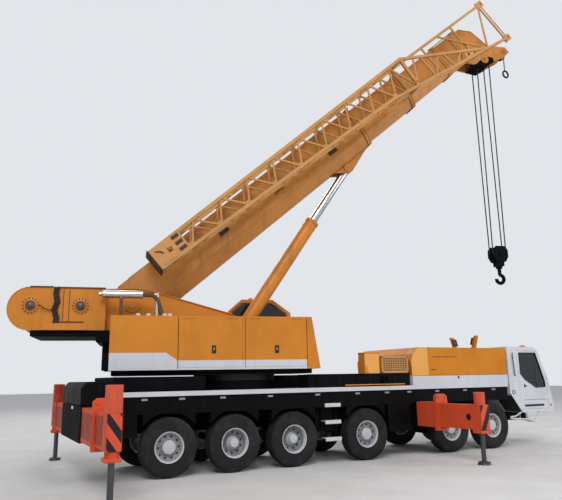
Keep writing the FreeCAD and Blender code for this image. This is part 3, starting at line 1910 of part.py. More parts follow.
def fly_jib():
    """The stowed lattice jib: four chords that spread from its tail, zigzag lacing, and its fork.

    Each chord runs straight from the tail to its turn, and from there into the fork. Both lower chords
    end at the lower lug and the upper inner one at the upper lug. The upper outer one comes down to a knee
    on the lower outer chord.
    """
    inner, outer = size("jib_in"), size("jib_out")
    start, pitch = size("jib_start"), size("jib_pitch")
    chord, lace = size("chord_wall"), size("lace_wall")
    flat = Vector(0, 1, 0)
    lugs = {
        level: Vector(size("jib_end"), size("jib_lug_out"), size(f"jib_lug_{level}"))
        for level in ("low", "high")
    }

    def between(one, two, u):
        """The point at station u on the line through two points."""
        return one + (two - one) * ((u - one.x) / (two.x - one.x))

    def tail(across, level):
        return Vector(start, across, size(f"jib_tail_{level}"))

    def turn(across, level):
        return Vector(size(f"jib_turn_{level}_u"), across, size(f"jib_turn_{level}"))

    knee = between(turn(outer, "low"), lugs["low"], size("jib_knee"))

    def chord_end(across, level):
        return knee if (across, level) == (outer, "high") else lugs[level]

    def on_chord(across, level, u):
        """The point at station u on one of the four chords."""
        bend = turn(across, level)
        if u <= bend.x:
            return between(tail(across, level), bend, u)
        return between(bend, chord_end(across, level), u)

    sticks = []
    bays = int(size("jib_bays"))
    for across in (inner, outer):
        for level in ("low", "high"):
            bend, end = turn(across, level), chord_end(across, level)
            past = between(tail(across, level), bend, bend.x + chord / 4)
            sticks.append(stick(tail(across, level), past, chord))
            sticks.append(stick(bend, between(bend, end, end.x - chord), chord * 0.85))
    for number in range(bays):
        low_u = start + number * pitch
        high_u = low_u + pitch * JIB_LEAN
        next_u = low_u + pitch
        for across in (inner, outer):
            top = on_chord(across, "high", high_u)
            sticks.append(stick(on_chord(across, "low", low_u), top, lace, flat))
            sticks.append(stick(top, on_chord(across, "low", next_u), lace, flat))
        ends = (inner, outer) if number % 2 else (outer, inner)
        for level in ("low", "high"):
            sticks.append(
                stick(on_chord(ends[0], level, low_u), on_chord(ends[1], level, next_u), lace)
            )
    for u in (start, start + bays * pitch):
        for across in (inner, outer):
            sticks.append(
                stick(on_chord(across, "low", u), on_chord(across, "high", u), chord, flat)
            )
        for level in ("low", "high"):
            sticks.append(stick(on_chord(inner, level, u), on_chord(outer, level, u), chord))
    for high_u, low_u in FORK_LACING:
        sticks.append(
            stick(on_chord(outer, "high", high_u), on_chord(outer, "low", low_u), lace, flat)
        )
    for u in (12000, 13400):
        sticks.append(stick(on_chord(inner, "low", u), on_chord(inner, "high", u), lace, flat))
    length, width, height = size("lug_length"), size("lug_width"), size("lug_height")
    back = Vector(-length / 2, 0, 0)
    sticks.append(stick(lugs["low"] + back, lugs["high"] + back, lace, flat))
    sticks.append(stick(knee, lugs["high"] + back, lace, flat))
    sticks.append(stick(knee, on_chord(inner, "high", 12750), lace, flat))
    for pin in lugs.values():
        lug = Part.makeBox(
            length, width, height, pin + Vector(-0.7 * length, -width / 2, -height / 2)
        )
        hole = Part.makeCylinder(size("lug_bore"), width, pin + Vector(0, -width / 2, 0), flat)
        sticks.append(lug.cut(hole))
    for u in (size("jib_arm_rear"), size("jib_arm_front")):
        held = on_chord(inner, "low", u)
        reach = -inner - size("base_width") - size("seat_gap")
        sticks.append(Part.makeBox(80, reach, 60, held - Vector(40, 0, 30)))
    joined = sticks[0].multiFuse(sticks[1:]).removeSplitter()
    node("fly_jib", BOOM, feature("jib_solid", joined))


def cylinder_frame():
    """Where the lift cylinder stands: on its lower pin, pointing at the eye's pin, and its length."""
    eye = FreeCAD.Placement(
        FOOT_PIN, FreeCAD.Rotation(Vector(0, 1, 0), -size("boom_angle"))
    ).multVec(Vector(size("eye_u"), 0, size("eye_v")))
    foot = Vector(size("barrel_pin_x"), 0, size("barrel_pin_z"))
    reach = eye - foot
    angle = math.degrees(math.atan2(reach.z, reach.x))
    place = UPPER.multiply(
        FreeCAD.Placement(foot, FreeCAD.Rotation(Vector(0, 1, 0), -angle))
    )
    return place, reach.Length


def lift_cylinder():
    """The lift cylinder's barrel and its rod with the eye."""
    place, length = cylinder_frame()
    barrel = fuse(
        "barrel_outer",
        bar("barrel_tube", "X", "barrel_radius", "0", "0", "200", "barrel_length"),
        bar("barrel_neck", "X", "barrel_radius * 0.7", "0", "0", "60", "260"),
        bar(
            "barrel_eye",
            "Y",
            "eye_radius + 20",
            "0",
            "0",
            "-(barrel_radius + 5)",
            "barrel_radius + 5",
        ),
        bar(
            "barrel_pin",
            "Y",
            "eye_pin_radius",
            "0",
            "0",
            "-(barrel_radius + 8)",
            "barrel_radius + 8",
        ),
    )
    bore = bar(
        "barrel_bore",
        "X",
        "rod_radius + 1",
        "0",
        "0",
        "320",
        "barrel_length + 10",
    )
    node("lift_barrel", place, cut("barrel_open", barrel, bore))
    rod = feature(
        "rod_form",
        Part.makeCylinder(
            size("rod_radius"),
            size("rod_length") - size("eye_radius") * 0.7,
            Vector(length - size("rod_length"), 0, 0),
            Vector(1, 0, 0),
        )
        .fuse(
            Part.makeCylinder(
                size("eye_radius"),
                2 * size("eye_half"),
                Vector(length, -size("eye_half"), 0),
                Vector(0, 1, 0),
            )
        )
        .cut(
            Part.makeCylinder(
                size("eye_pin_radius") + size("running_gap"),
                2 * size("eye_half") + 20,
                Vector(length, -size("eye_half") - 10, 0),
                Vector(0, 1, 0),
            )
        ),
    )
    node("lift_rod", place, rod)


def hoist():
    """The four falls of the hoist rope and the hook block that hangs in them."""
    head = FreeCAD.Placement(
        FOOT_PIN, FreeCAD.Rotation(Vector(0, 1, 0), -size("boom_angle"))
    ).multVec(Vector(size("sheave_u"), 0, size("sheave_v")))
    reach = size("sheave_radius") + size("rope_radius") + size("seat_gap")
    falls = []
    for along in (head.x - reach, head.x + reach):
        for across in (-size("fall_spread"), size("fall_spread")):
            falls.append(
                Part.makeCylinder(
                    size("rope_radius"),
                    head.z - size("hook_z"),
                    Vector(along, across, size("hook_z")),
                )
            )
    node("hoist_falls", UPPER, feature("falls", Part.makeCompound(falls)))

    place = UPPER.multiply(FreeCAD.Placement(Vector(head.x, 0, 0), FreeCAD.Rotation()))
    cheek = prism(
        "block_cheek",
        "XZ",
        (
            ("-260", "hook_z - 100"),
            ("-160", "hook_z - 260"),
            ("160", "hook_z - 260"),
            ("260", "hook_z - 100"),
            ("260", "hook_z + 130"),
            ("150", "hook_z + 250"),
            ("-150", "hook_z + 250"),
            ("-260", "hook_z + 130"),
        ),
        "block_half",
        "block_half + block_wall",
    )
    pieces = [
        cheek,
        mirror("block_cheek_right", cheek),
        bar(
            "block_axle",
            "Y",
            "50",
            "0",
            "hook_z",
            "-(block_half + block_wall + 20)",
            "block_half + block_wall + 20",
        ),
        box(
            "block_cross",
            "-110",
            "110",
            "-(block_half + 10)",
            "block_half + 10",
            "hook_z - 390",
            "hook_z - 232",
        ),
    ]
    for number, sign in enumerate(("-1", "1")):
        middle = f"({sign} * fall_spread)"
        pieces.append(
            bar(
                f"block_wheel_{number}",
                "Y",
                "sheave_radius",
                "0",
                "hook_z",
                f"{middle} - 25",
                f"{middle} + 25",
            )
        )
    bar_radius, bend = size("hook_bar"), size("hook_bend")
    centre_z = size("hook_low") + bar_radius + bend
    hook = Part.makeTorus(
        bend, bar_radius, Vector(0, 0, centre_z), Vector(0, 1, 0), 0, 360, 270
    )
    shank = Part.makeCylinder(
        bar_radius,
        size("hook_z") - 300 - centre_z - bend,
        Vector(0, 0, centre_z + bend),
    )
    pieces.append(feature("hook_form", hook))
    pieces.append(feature("hook_shank", shank))
    node("hook_block", place, fuse("hook_block_solid", *pieces))


def main():
    """Build every sub-part, check each one and write its file."""
    wheels()
    knuckles()
    axle_beams()
    carrier_frame()
    outriggers()
    deck()
    carrier_hood()
    cab()
    turntable()
    housings()
    crane_cabin()
    muffler()
    boom()
    fly_jib()
    lift_cylinder()
    hoist()
    doc.recompute()
    bad = [
        f"{piece.Label}: {piece.State}"
        for piece in doc.Objects
        if "Invalid" in piece.State or "Error" in piece.State
    ]
    for whole in NODES:
        if whole.Shape.isNull() or not whole.Shape.isValid() or not whole.Shape.Solids:
            bad.append(f"{whole.Label}: its shape is empty or not valid")
    if bad:
        raise RuntimeError("; ".join(bad))
    os.makedirs("parts", exist_ok=True)
    for whole in NODES:
        whole.Shape.exportStep(f"parts/{whole.Label}.step")
    low, high = Vector(1e9, 1e9, 1e9), Vector(-1e9, -1e9, -1e9)
    for whole in NODES:
        corners = whole.Shape.BoundBox
        low = Vector(
            min(low.x, corners.XMin), min(low.y, corners.YMin), min(low.z, corners.ZMin)
        )
        high = Vector(
            max(high.x, corners.XMax),
            max(high.y, corners.YMax),
            max(high.z, corners.ZMax),
        )
    print(len(NODES), "sub-parts from", low, "to", high)


main()
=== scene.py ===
"""Looks of the mobile crane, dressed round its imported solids. Lengths are metres.

Three local frames are used, as in the solids: the carrier's, from the rearmost axle, the
superstructure's, from the slewing axis, and the boom's, from its foot pin. X runs forward, Y to the left
and Z upward in each.
"""

from math import atan2, copysign, cos, hypot, pi, radians, sin

import bmesh
import bpy
from mathutils import Matrix, Vector


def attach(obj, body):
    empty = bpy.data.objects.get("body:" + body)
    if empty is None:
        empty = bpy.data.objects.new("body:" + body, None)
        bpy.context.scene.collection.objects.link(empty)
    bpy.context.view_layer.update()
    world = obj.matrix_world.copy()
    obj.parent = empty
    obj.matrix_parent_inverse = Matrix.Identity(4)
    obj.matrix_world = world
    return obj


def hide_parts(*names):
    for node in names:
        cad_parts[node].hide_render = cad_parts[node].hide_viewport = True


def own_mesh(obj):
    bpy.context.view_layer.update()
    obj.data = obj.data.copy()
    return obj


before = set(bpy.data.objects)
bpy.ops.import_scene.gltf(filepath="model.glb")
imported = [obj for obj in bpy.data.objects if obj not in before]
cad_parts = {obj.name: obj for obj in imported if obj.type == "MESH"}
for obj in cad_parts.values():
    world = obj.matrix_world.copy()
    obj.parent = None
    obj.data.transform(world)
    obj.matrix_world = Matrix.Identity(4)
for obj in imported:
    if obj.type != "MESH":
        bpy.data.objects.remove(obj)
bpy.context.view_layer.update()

REAR_AXLE = -4.776
SLEW_X = 2.18
SLEW = radians(14)
LUFF = radians(40.5)
PIN = Vector((-2.75, 0, 4.15))
AXLES = (10.29, 8.62, 5.57, 3.30, 1.65, 0.0)
WHEEL_OUT = 1.1875
TYRE_R = 0.685
REST_X = 10.68
SKIN = 1.3755
HOOD_LINE = 2.225
WINCH_Z = 4.05
MUFFLER = (0, -1.12, 4.33)
SIDES = (("right", -1), ("left", 1))

CARRIER = Matrix.Translation((REAR_AXLE, 0, 0))
UPPER = CARRIER @ Matrix.Translation((SLEW_X, 0, 0)) @ Matrix.Rotation(-SLEW, 4, "Z")
BOOM = UPPER @ Matrix.Translation(PIN) @ Matrix.Rotation(-LUFF, 4, "Y")


# materials

def srgb(r, g, b):
    """A colour read in 0 to 255 steps, as a linear value."""
    parts = []
    for step in (r, g, b):
        v = step / 255
        parts.append(v / 12.92 if v <= 0.04045 else ((v + 0.055) / 1.055) ** 2.4)
    return (*parts, 1.0)


def tone(colour, factor):
    """The colour made darker or lighter."""
    return (*[min(1.0, c * factor) for c in colour[:3]], 1.0)


class Shader:
    """A material whose nodes are added one by one."""

    def __init__(self, name, roughness=0.5, metallic=0.0, specular=0.5):
        self.material = bpy.data.materials.new(name)
        self.material.use_nodes = True
        self.nodes = self.material.node_tree.nodes
        self.link = self.material.node_tree.links.new
        self.surface = self.nodes["Principled BSDF"]
        self.surface.inputs["Roughness"].default_value = roughness
        self.surface.inputs["Metallic"].default_value = metallic
        self.surface.inputs["Specular IOR Level"].default_value = specular
        self.place = self.nodes.new("ShaderNodeTexCoord").outputs["Object"]

    def node(self, kind, **values):
        """A node with values on its sockets."""
        node = self.nodes.new(kind)
        for name, value in values.items():
            node.inputs[name.replace("_", " ")].default_value = value
        return node

    def noise(self, scale, detail=4.0, rough=0.6, stretch=None):
        """Noise in the object's own space, stretched where a stretch is given."""
        source = self.place
        if stretch:
            mapping = self.node("ShaderNodeMapping", Scale=stretch)
            self.link(self.place, mapping.inputs["Vector"])
            source = mapping.outputs["Vector"]
        node = self.node("ShaderNodeTexNoise", Scale=scale, Detail=detail, Roughness=rough)
        self.link(source, node.inputs["Vector"])
        return node.outputs["Fac"]

    def ramp(self, factor, stops):
        """Factor to colour through stops of (place, colour)."""
        node = self.nodes.new("ShaderNodeValToRGB")
        for index, (place, colour) in enumerate(stops):
            if index < 2:
                stop = node.color_ramp.elements[index]
                stop.position = place
            else:
                stop = node.color_ramp.elements.new(place)
            stop.color = colour
        self.link(factor, node.inputs["Fac"])
        return node.outputs["Color"]

    def level(self, factor, low, high, out_low=0.0, out_high=1.0):
        """A factor stretched from one range to another and held inside it."""
        node = self.node("ShaderNodeMapRange", From_Min=low, From_Max=high, To_Min=out_low, To_Max=out_high)
        self.link(factor, node.inputs["Value"])
        return node.outputs["Result"]

    def mix(self, factor, one, two):
        """Two colours mixed by a factor. Each may be a socket or a fixed colour."""
        node = self.nodes.new("ShaderNodeMix")
        node.data_type = "RGBA"
        self.link(factor, node.inputs["Factor"])
        for name, value in (("A", one), ("B", two)):
            socket = [i for i in node.inputs if i.name == name and i.type == "RGBA"][0]
            if isinstance(value, tuple):
                socket.default_value = value
            else:
                self.link(value, socket)
        return [o for o in node.outputs if o.type == "RGBA"][0]

    def maths(self, operation, one, two=0.0):
        """Arithmetic on two factors."""
        node = self.nodes.new("ShaderNodeMath")
        node.operation = operation
        for index, value in enumerate((one, two)):
            if isinstance(value, (int, float)):
                node.inputs[index].default_value = value
            else:
                self.link(value, node.inputs[index])
        return node.outputs["Value"]

    def times(self, first, *others):
        """Factors multiplied with each other."""
        for other in others:
            first = self.maths("MULTIPLY", first, other)
        return first

    def plus(self, one, two):
        """Two factors added."""
        return self.maths("ADD", one, two)

    def minus(self, one, two):
        """One factor less another."""
        return self.maths("SUBTRACT", one, two)

    def over(self, one, two):
        """1 where a factor is above another."""
        return self.maths("GREATER_THAN", one, two)

    def under(self, one, two):
        """1 where a factor is below another."""
        return self.maths("LESS_THAN", one, two)

    def size(self, one):
        """A factor without its sign."""
        return self.maths("ABSOLUTE", one)

    def stripes(self, along, period, share=0.48):
        """1 on the first share of each period."""
        return self.under(self.maths("FRACT", self.maths("DIVIDE", along, period)), share)

    def axes(self, source=None):
        """How far along X, Y and Z, in metres, or a direction's parts."""
        node = self.nodes.new("ShaderNodeSeparateXYZ")
        self.link(source or self.place, node.inputs["Vector"])
        return node.outputs["X"], node.outputs["Y"], node.outputs["Z"]

    def facing(self, index):
        """1 where the surface faces along an axis."""
        normal = self.axes(self.nodes.new("ShaderNodeNewGeometry").outputs["Normal"])
        return self.over(self.size(normal[index]), 0.7)

    def bump(self, factor, strength, distance=0.01):
        """Relief from a factor."""
        node = self.node("ShaderNodeBump", Strength=strength, Distance=distance)
        self.link(factor, node.inputs["Height"])
        self.link(node.outputs["Normal"], self.surface.inputs["Normal"])

    def finish(self, colour, roughness=None):
        """Set the colour, and the roughness where it varies."""
        self.link(colour, self.surface.inputs["Base Color"])
        if roughness is not None:
            self.link(roughness, self.surface.inputs["Roughness"])
        return self.material


def paint(name, colour, roughness=0.42, fading_and_highlight=1.12, grime=0.5, streak=(1.5, 1.5, 0.25), specular=0.4):
    """Weathered paint: faded patches, dust that runs down, and a fine orange-peel surface."""
    s = Shader(name, roughness, 0.0, specular)
    patches = s.noise(0.9, 5.0, 0.62)
    runs = s.noise(3.2, 6.0, 0.7, streak)
    fine = s.noise(38.0, 3.0, 0.6)
    base = s.ramp(patches, ((0.30, tone(colour, 0.84)), (0.52, colour), (0.75, tone(colour, fading_and_highlight))))
    dirty = s.mix(s.level(runs, 0.52, 0.82, 0.0, grime), base, tone(srgb(96, 78, 58), 0.9))
    speck = s.mix(s.level(fine, 0.66, 0.74, 0.0, 0.35), dirty, tone(colour, 0.55))
    s.bump(fine, 0.06, 0.002)
    return s.finish(speck, s.level(runs, 0.35, 0.8, roughness - 0.08, roughness + 0.2))


def steel(name, colour, roughness, stretch=(1, 1, 1)):
    """Bare or plated metal with fine lines."""
    s = Shader(name, roughness, 1.0)
    lines = s.noise(60.0, 3.0, 0.6, stretch)
    base = s.ramp(lines, ((0.3, tone(colour, 0.8)), (0.7, tone(colour, 1.05))))
    s.bump(lines, 0.03, 0.001)
    return s.finish(base, s.level(lines, 0.3, 0.7, roughness * 0.8, roughness * 1.3))


def rubber(name):
    """Tyre rubber with dried mud on it."""
    s = Shader(name, 0.85, 0.0, 0.15)
    mud = s.noise(3.5, 6.0, 0.65)
    fine = s.noise(45.0, 4.0, 0.7)
    base = s.ramp(fine, ((0.3, srgb(27, 27, 29)), (0.7, srgb(42, 41, 42))))
    dusty = s.mix(s.level(mud, 0.46, 0.75, 0.0, 0.45), base, srgb(72, 66, 60))
    s.bump(fine, 0.25, 0.003)
    return s.finish(dusty)


def wheel_paint(name, hub=0.163, lip=0.312):
    """Wheel paint with painted shade on the dish between the hub and the lip, and fine dust over it all."""
    s = Shader(name, 0.45)
    across, _, up = s.axes()
    radius = s.maths("SQRT", s.plus(s.times(across, across), s.times(up, up)))
    # Painted shade: the dish between the hub and the lip is darkened to about a third to a half of the rim's
    # colour.
    dish = s.times(s.over(radius, hub), s.under(radius, lip))
    dust = s.noise(14.0, 4.0)
    light = s.ramp(dust, ((0.3, tone(RIM, 0.85)), (0.7, RIM)))
    dark = s.ramp(dust, ((0.3, tone(RIM, 0.30)), (0.7, tone(RIM, 0.52))))
    s.bump(dust, 0.05, 0.002)
    return s.finish(s.mix(dish, light, dark))


def hazard(name, left, out, slope, start, period):
    """Slanting bands that wrap round an arm's end, from the height where one meets its rear edge."""
    s = Shader(name, 0.5, 0.0, 0.3)
    x, y, z = s.axes()
    along = s.plus(s.minus(x, REAR_AXLE + left), s.minus(s.size(y), out))
    line = s.plus(s.times(along, slope), z)
    base = s.mix(s.stripes(s.minus(line, start), period), RED, srgb(20, 21, 25))
    worn = s.noise(18.0, 4.0)
    return s.finish(s.mix(s.level(worn, 0.62, 0.75, 0.0, 0.25), base, tone(RED, 0.8)))


def plain(name, colour, roughness, variation=0.15, scale=12.0):
    """A moulded or painted surface with light variation."""
    s = Shader(name, roughness)
    fac = s.noise(scale, 4.0)
    base = s.ramp(fac, ((0.3, tone(colour, 1 - variation)), (0.7, tone(colour, 1 + variation))))
    s.bump(fac, 0.05, 0.002)
    return s.finish(base, s.level(fac, 0.3, 0.7, roughness * 0.85, roughness * 1.15))


def window(name):
    """Dark tinted glass: a coated dark sheet that the light goes through a little."""
    s = Shader(name, 0.06)
    base = s.ramp(s.noise(2.0, 3.0), ((0.3, srgb(8, 10, 12)), (0.7, srgb(20, 23, 26))))
    s.surface.inputs["Alpha"].default_value = 0.82
    s.surface.inputs["Coat Weight"].default_value = 0.6
    s.material.surface_render_method = "BLENDED"
    return s.finish(base)


def weathered(s, factor, one, two, grime, fading_and_highlight=None):
    """Two paints parted by a factor, with the same fading, dust and relief over both, and a painted
    highlight on the first paint where a mask of lit facets is given.
    """
    patches = s.noise(0.9, 5.0, 0.62)
    runs = s.noise(3.2, 6.0, 0.7, (1.5, 1.5, 0.25))
    first = s.ramp(patches, ((0.30, tone(one, 0.84)), (0.52, one), (0.75, tone(one, 1.1))))
    second = s.ramp(patches, ((0.30, tone(two, 0.9)), (0.52, two), (0.75, tone(two, 1.04))))
    # Painted highlight: a paler orange on the first paint where the facets catch the light.
    if fading_and_highlight is not None:
        first = s.mix(fading_and_highlight, first, srgb(222, 160, 84))
    base = s.mix(factor, first, second)
    dirty = s.mix(s.level(runs, 0.52, 0.82, 0.0, grime), base, srgb(92, 75, 57))
    s.bump(s.noise(38.0, 3.0, 0.6), 0.06, 0.002)
    return s.finish(dirty, s.level(runs, 0.35, 0.8, 0.42, 0.66))


def two_tone_hood():
    """The hood's orange over its white lower band, with a painted highlight that makes the side faces of its
    rear part paler.
    """
    s = Shader("hood_paint", 0.5, 0.0, 0.12)
    x, _, z = s.axes()
    white = s.times(s.under(z, HOOD_LINE), s.over(x, REAR_AXLE + 7.20))
    # Painted highlight on the side faces of the hood's rear part, above the white band.
    lit_facet = s.times(s.under(x, REAR_AXLE + 7.85), s.over(z, HOOD_LINE), s.facing(1))
    return weathered(s, white, ORANGE, WHITE, 0.12, lit_facet)


def two_tone_housing():
    """The engine housing's orange over a white band that steps down behind the rear flap."""
    s = Shader("housing_paint", 0.42, 0.0, 0.3)
    x, y, z = s.axes()
    forward = s.minus(s.times(s.minus(x, REAR_AXLE + SLEW_X), cos(SLEW)), s.times(y, sin(SLEW)))
    line = s.level(forward, -1.90, -1.62, 2.87, 2.68)
    return weathered(s, s.times(s.under(z, line), s.under(forward, 1.705)), ORANGE, WHITE, 0.15)


def deck_paint():
    """Black deck and side plates with a white rim along the outer edge."""
    s = Shader("deck_black_white", 0.6, 0.0, 0.06)
    x, y, z = s.axes()
    rim_band = s.times(s.over(s.size(y), 1.345), s.over(z, 1.836), s.under(z, 1.9505))
    return weathered(s, s.times(rim_band, s.over(x, REAR_AXLE - 1.125)), BLACK, WHITE, 0.06)


def two_tone_turntable():
    """Orange cheeks and winch frame over a black ring and underside."""
    s = Shader("turntable_paint", 0.5, 0.0, 0.3)
    return weathered(s, s.under(s.axes()[2], 2.455), ORANGE, BLACK, 0.3)


def ribbed_red():
    """Outrigger red, with painted shade in slanting stripes for the gaps of an open ribbed web on the rear
    arms' long faces.
    """
    s = Shader("outrigger_ribbed", 0.6, 0.0, 0.1)
    x, y, z = s.axes()
    # Painted shade: dark stripes where the gaps between the ribs are.
    gap = s.stripes(s.plus(y, s.times(z, 0.12)), 0.135)
    inside = s.times(s.over(z, 1.02), s.under(z, 1.56), s.under(s.size(y), 3.56))
    gap_shade = s.times(gap, s.facing(0), inside, s.under(x, REAR_AXLE - 1.4))
    return weathered(s, gap_shade, RED, srgb(24, 14, 12), 0.35)


ORANGE = srgb(198, 122, 30)
BOOM_TONE = srgb(186, 122, 50)
JIB_TONE = srgb(188, 136, 76)
WHITE = srgb(196, 199, 204)
RED = srgb(204, 78, 46)
BLACK = srgb(11, 11, 13)
RIM = srgb(188, 190, 195)

M = {
    "orange": paint("body_orange", ORANGE),
    "boom": paint("boom_orange", BOOM_TONE, 0.46),
    "jib": paint("jib_tan", JIB_TONE, 0.5, 1.1, 0.4, (1, 1, 1)),
    "white": paint("cab_white", WHITE, 0.4, 1.03, 0.1),
    "red": paint("outrigger_red", RED, 0.5, 1.1, 0.35),
    "black": paint("chassis_black", BLACK, 0.7, 1.4, 0.08, specular=0.06),
    "rim": wheel_paint("rim_paint"),
    "tyre": rubber("tyre_rubber"),
    "chrome": steel("rod_chrome", srgb(215, 217, 220), 0.16, (1, 1, 8)),
    "bright": steel("bright_steel", srgb(205, 203, 200), 0.3, (6, 1, 1)),
    "rope": steel("rope_steel", srgb(62, 62, 65), 0.6, (1, 1, 6)),
    "leg": steel("jack_leg_steel", srgb(92, 94, 98), 0.42, (1, 1, 6)),
    "bands_rear": hazard("rear_bands", -1.967, 3.90, 1.35, 1.467, 0.46),
    "bands_front": hazard("front_bands", 7.353, 3.79, -2.08, 1.233, 0.672),
    "clamp": plain("clamp_brown", srgb(66, 44, 30), 0.75, 0.3),
    "trim": plain("trim_black", srgb(15, 15, 16), 0.55),
    "marker": plain("marker_lens", srgb(140, 140, 140), 0.3, 0.1),
    "cloth": plain("seat_cloth", srgb(48, 50, 56), 0.9, 0.3, 80),
    "lamp": plain("lamp_lens", srgb(225, 228, 232), 0.15, 0.05),
    "amber": plain("amber_lens", srgb(226, 120, 20), 0.2, 0.1),
    "red_lens": plain("red_lens", srgb(170, 24, 20), 0.2, 0.1),
    "rust": plain("exhaust_scale", srgb(92, 62, 48), 0.8, 0.35),
    "glass": window("window_glass"),
    "hood": two_tone_hood(),
    "housing": two_tone_housing(),
    "deck": deck_paint(),
    "turntable": two_tone_turntable(),
    "ribbed": ribbed_red(),
}

NODE_LOOKS = {
    "carrier_frame": "black",
    "axle_beams": "black",
    "knuckle": "black",
    "hook_block": "black",
    "deck": "deck",
    "carrier_hood": "hood",
    "cab_shell": "white",
    "cab_door": "white",
    "cab_glass": "glass",
    "cab_interior": "cloth",
    "outrigger": "ribbed",
    "jack_leg": "leg",
    "turntable_frame": "turntable",
    "engine_housing": "housing",
    "housing_flap": "housing",
    "crane_cabin": "orange",
    "lift_barrel": "orange",
    "lift_rod": "chrome",
    "muffler": "bright",
    "boom": "boom",
    "fly_jib": "jib",
    "hoist_falls": "rope",
    "tyre": "tyre",
    "rim": "rim",
}


def dress_nodes():
    """Each carried-over node takes a better material."""
    for name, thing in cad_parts.items():
        look = next(look for start, look in NODE_LOOKS.items() if name.startswith(start))
        for slot in thing.material_slots:
            slot.material = M[look]
        thing.data.set_sharp_from_angle(angle=radians(30))


dress_nodes()


# meshes

def bands(rings, sides):
    """The faces between rings of corners."""
    faces = []
    for start in range(0, (rings - 1) * sides, sides):
        for k in range(sides):
            k2 = (k + 1) % sides
            faces.append((start + k, start + k2, start + sides + k2, start + sides + k))
    return faces


def plate_faces(count):
    """The faces of a plate with so many corners on each of its two sides."""
    return [tuple(range(count)), tuple(range(2 * count - 1, count - 1, -1)), *bands(2, count)]


def square_to(along):
    """A unit vector square to a direction."""
    other = Vector((0, 0, 1)) if abs(along.z) < 0.9 else Vector((1, 0, 0))
    return along.cross(other).normalized()


def ring_of(count, radius, centre, phase=0.0, axis="Y"):
    """Points in a circle round a centre, square to an axis."""
    x, y, z = centre
    spots = []
    for k in range(count):
        a = 2 * pi * (k + phase) / count
        p, q = radius * cos(a), radius * sin(a)
        spots.append({"Y": (x + p, y, z + q), "X": (x, y + p, z + q), "Z": (x + p, y + q, z)}[axis])
    return spots


def show(name, data):
    """A new object in the scene."""
    thing = bpy.data.objects.new(name, data)
    bpy.context.collection.objects.link(thing)
    return thing


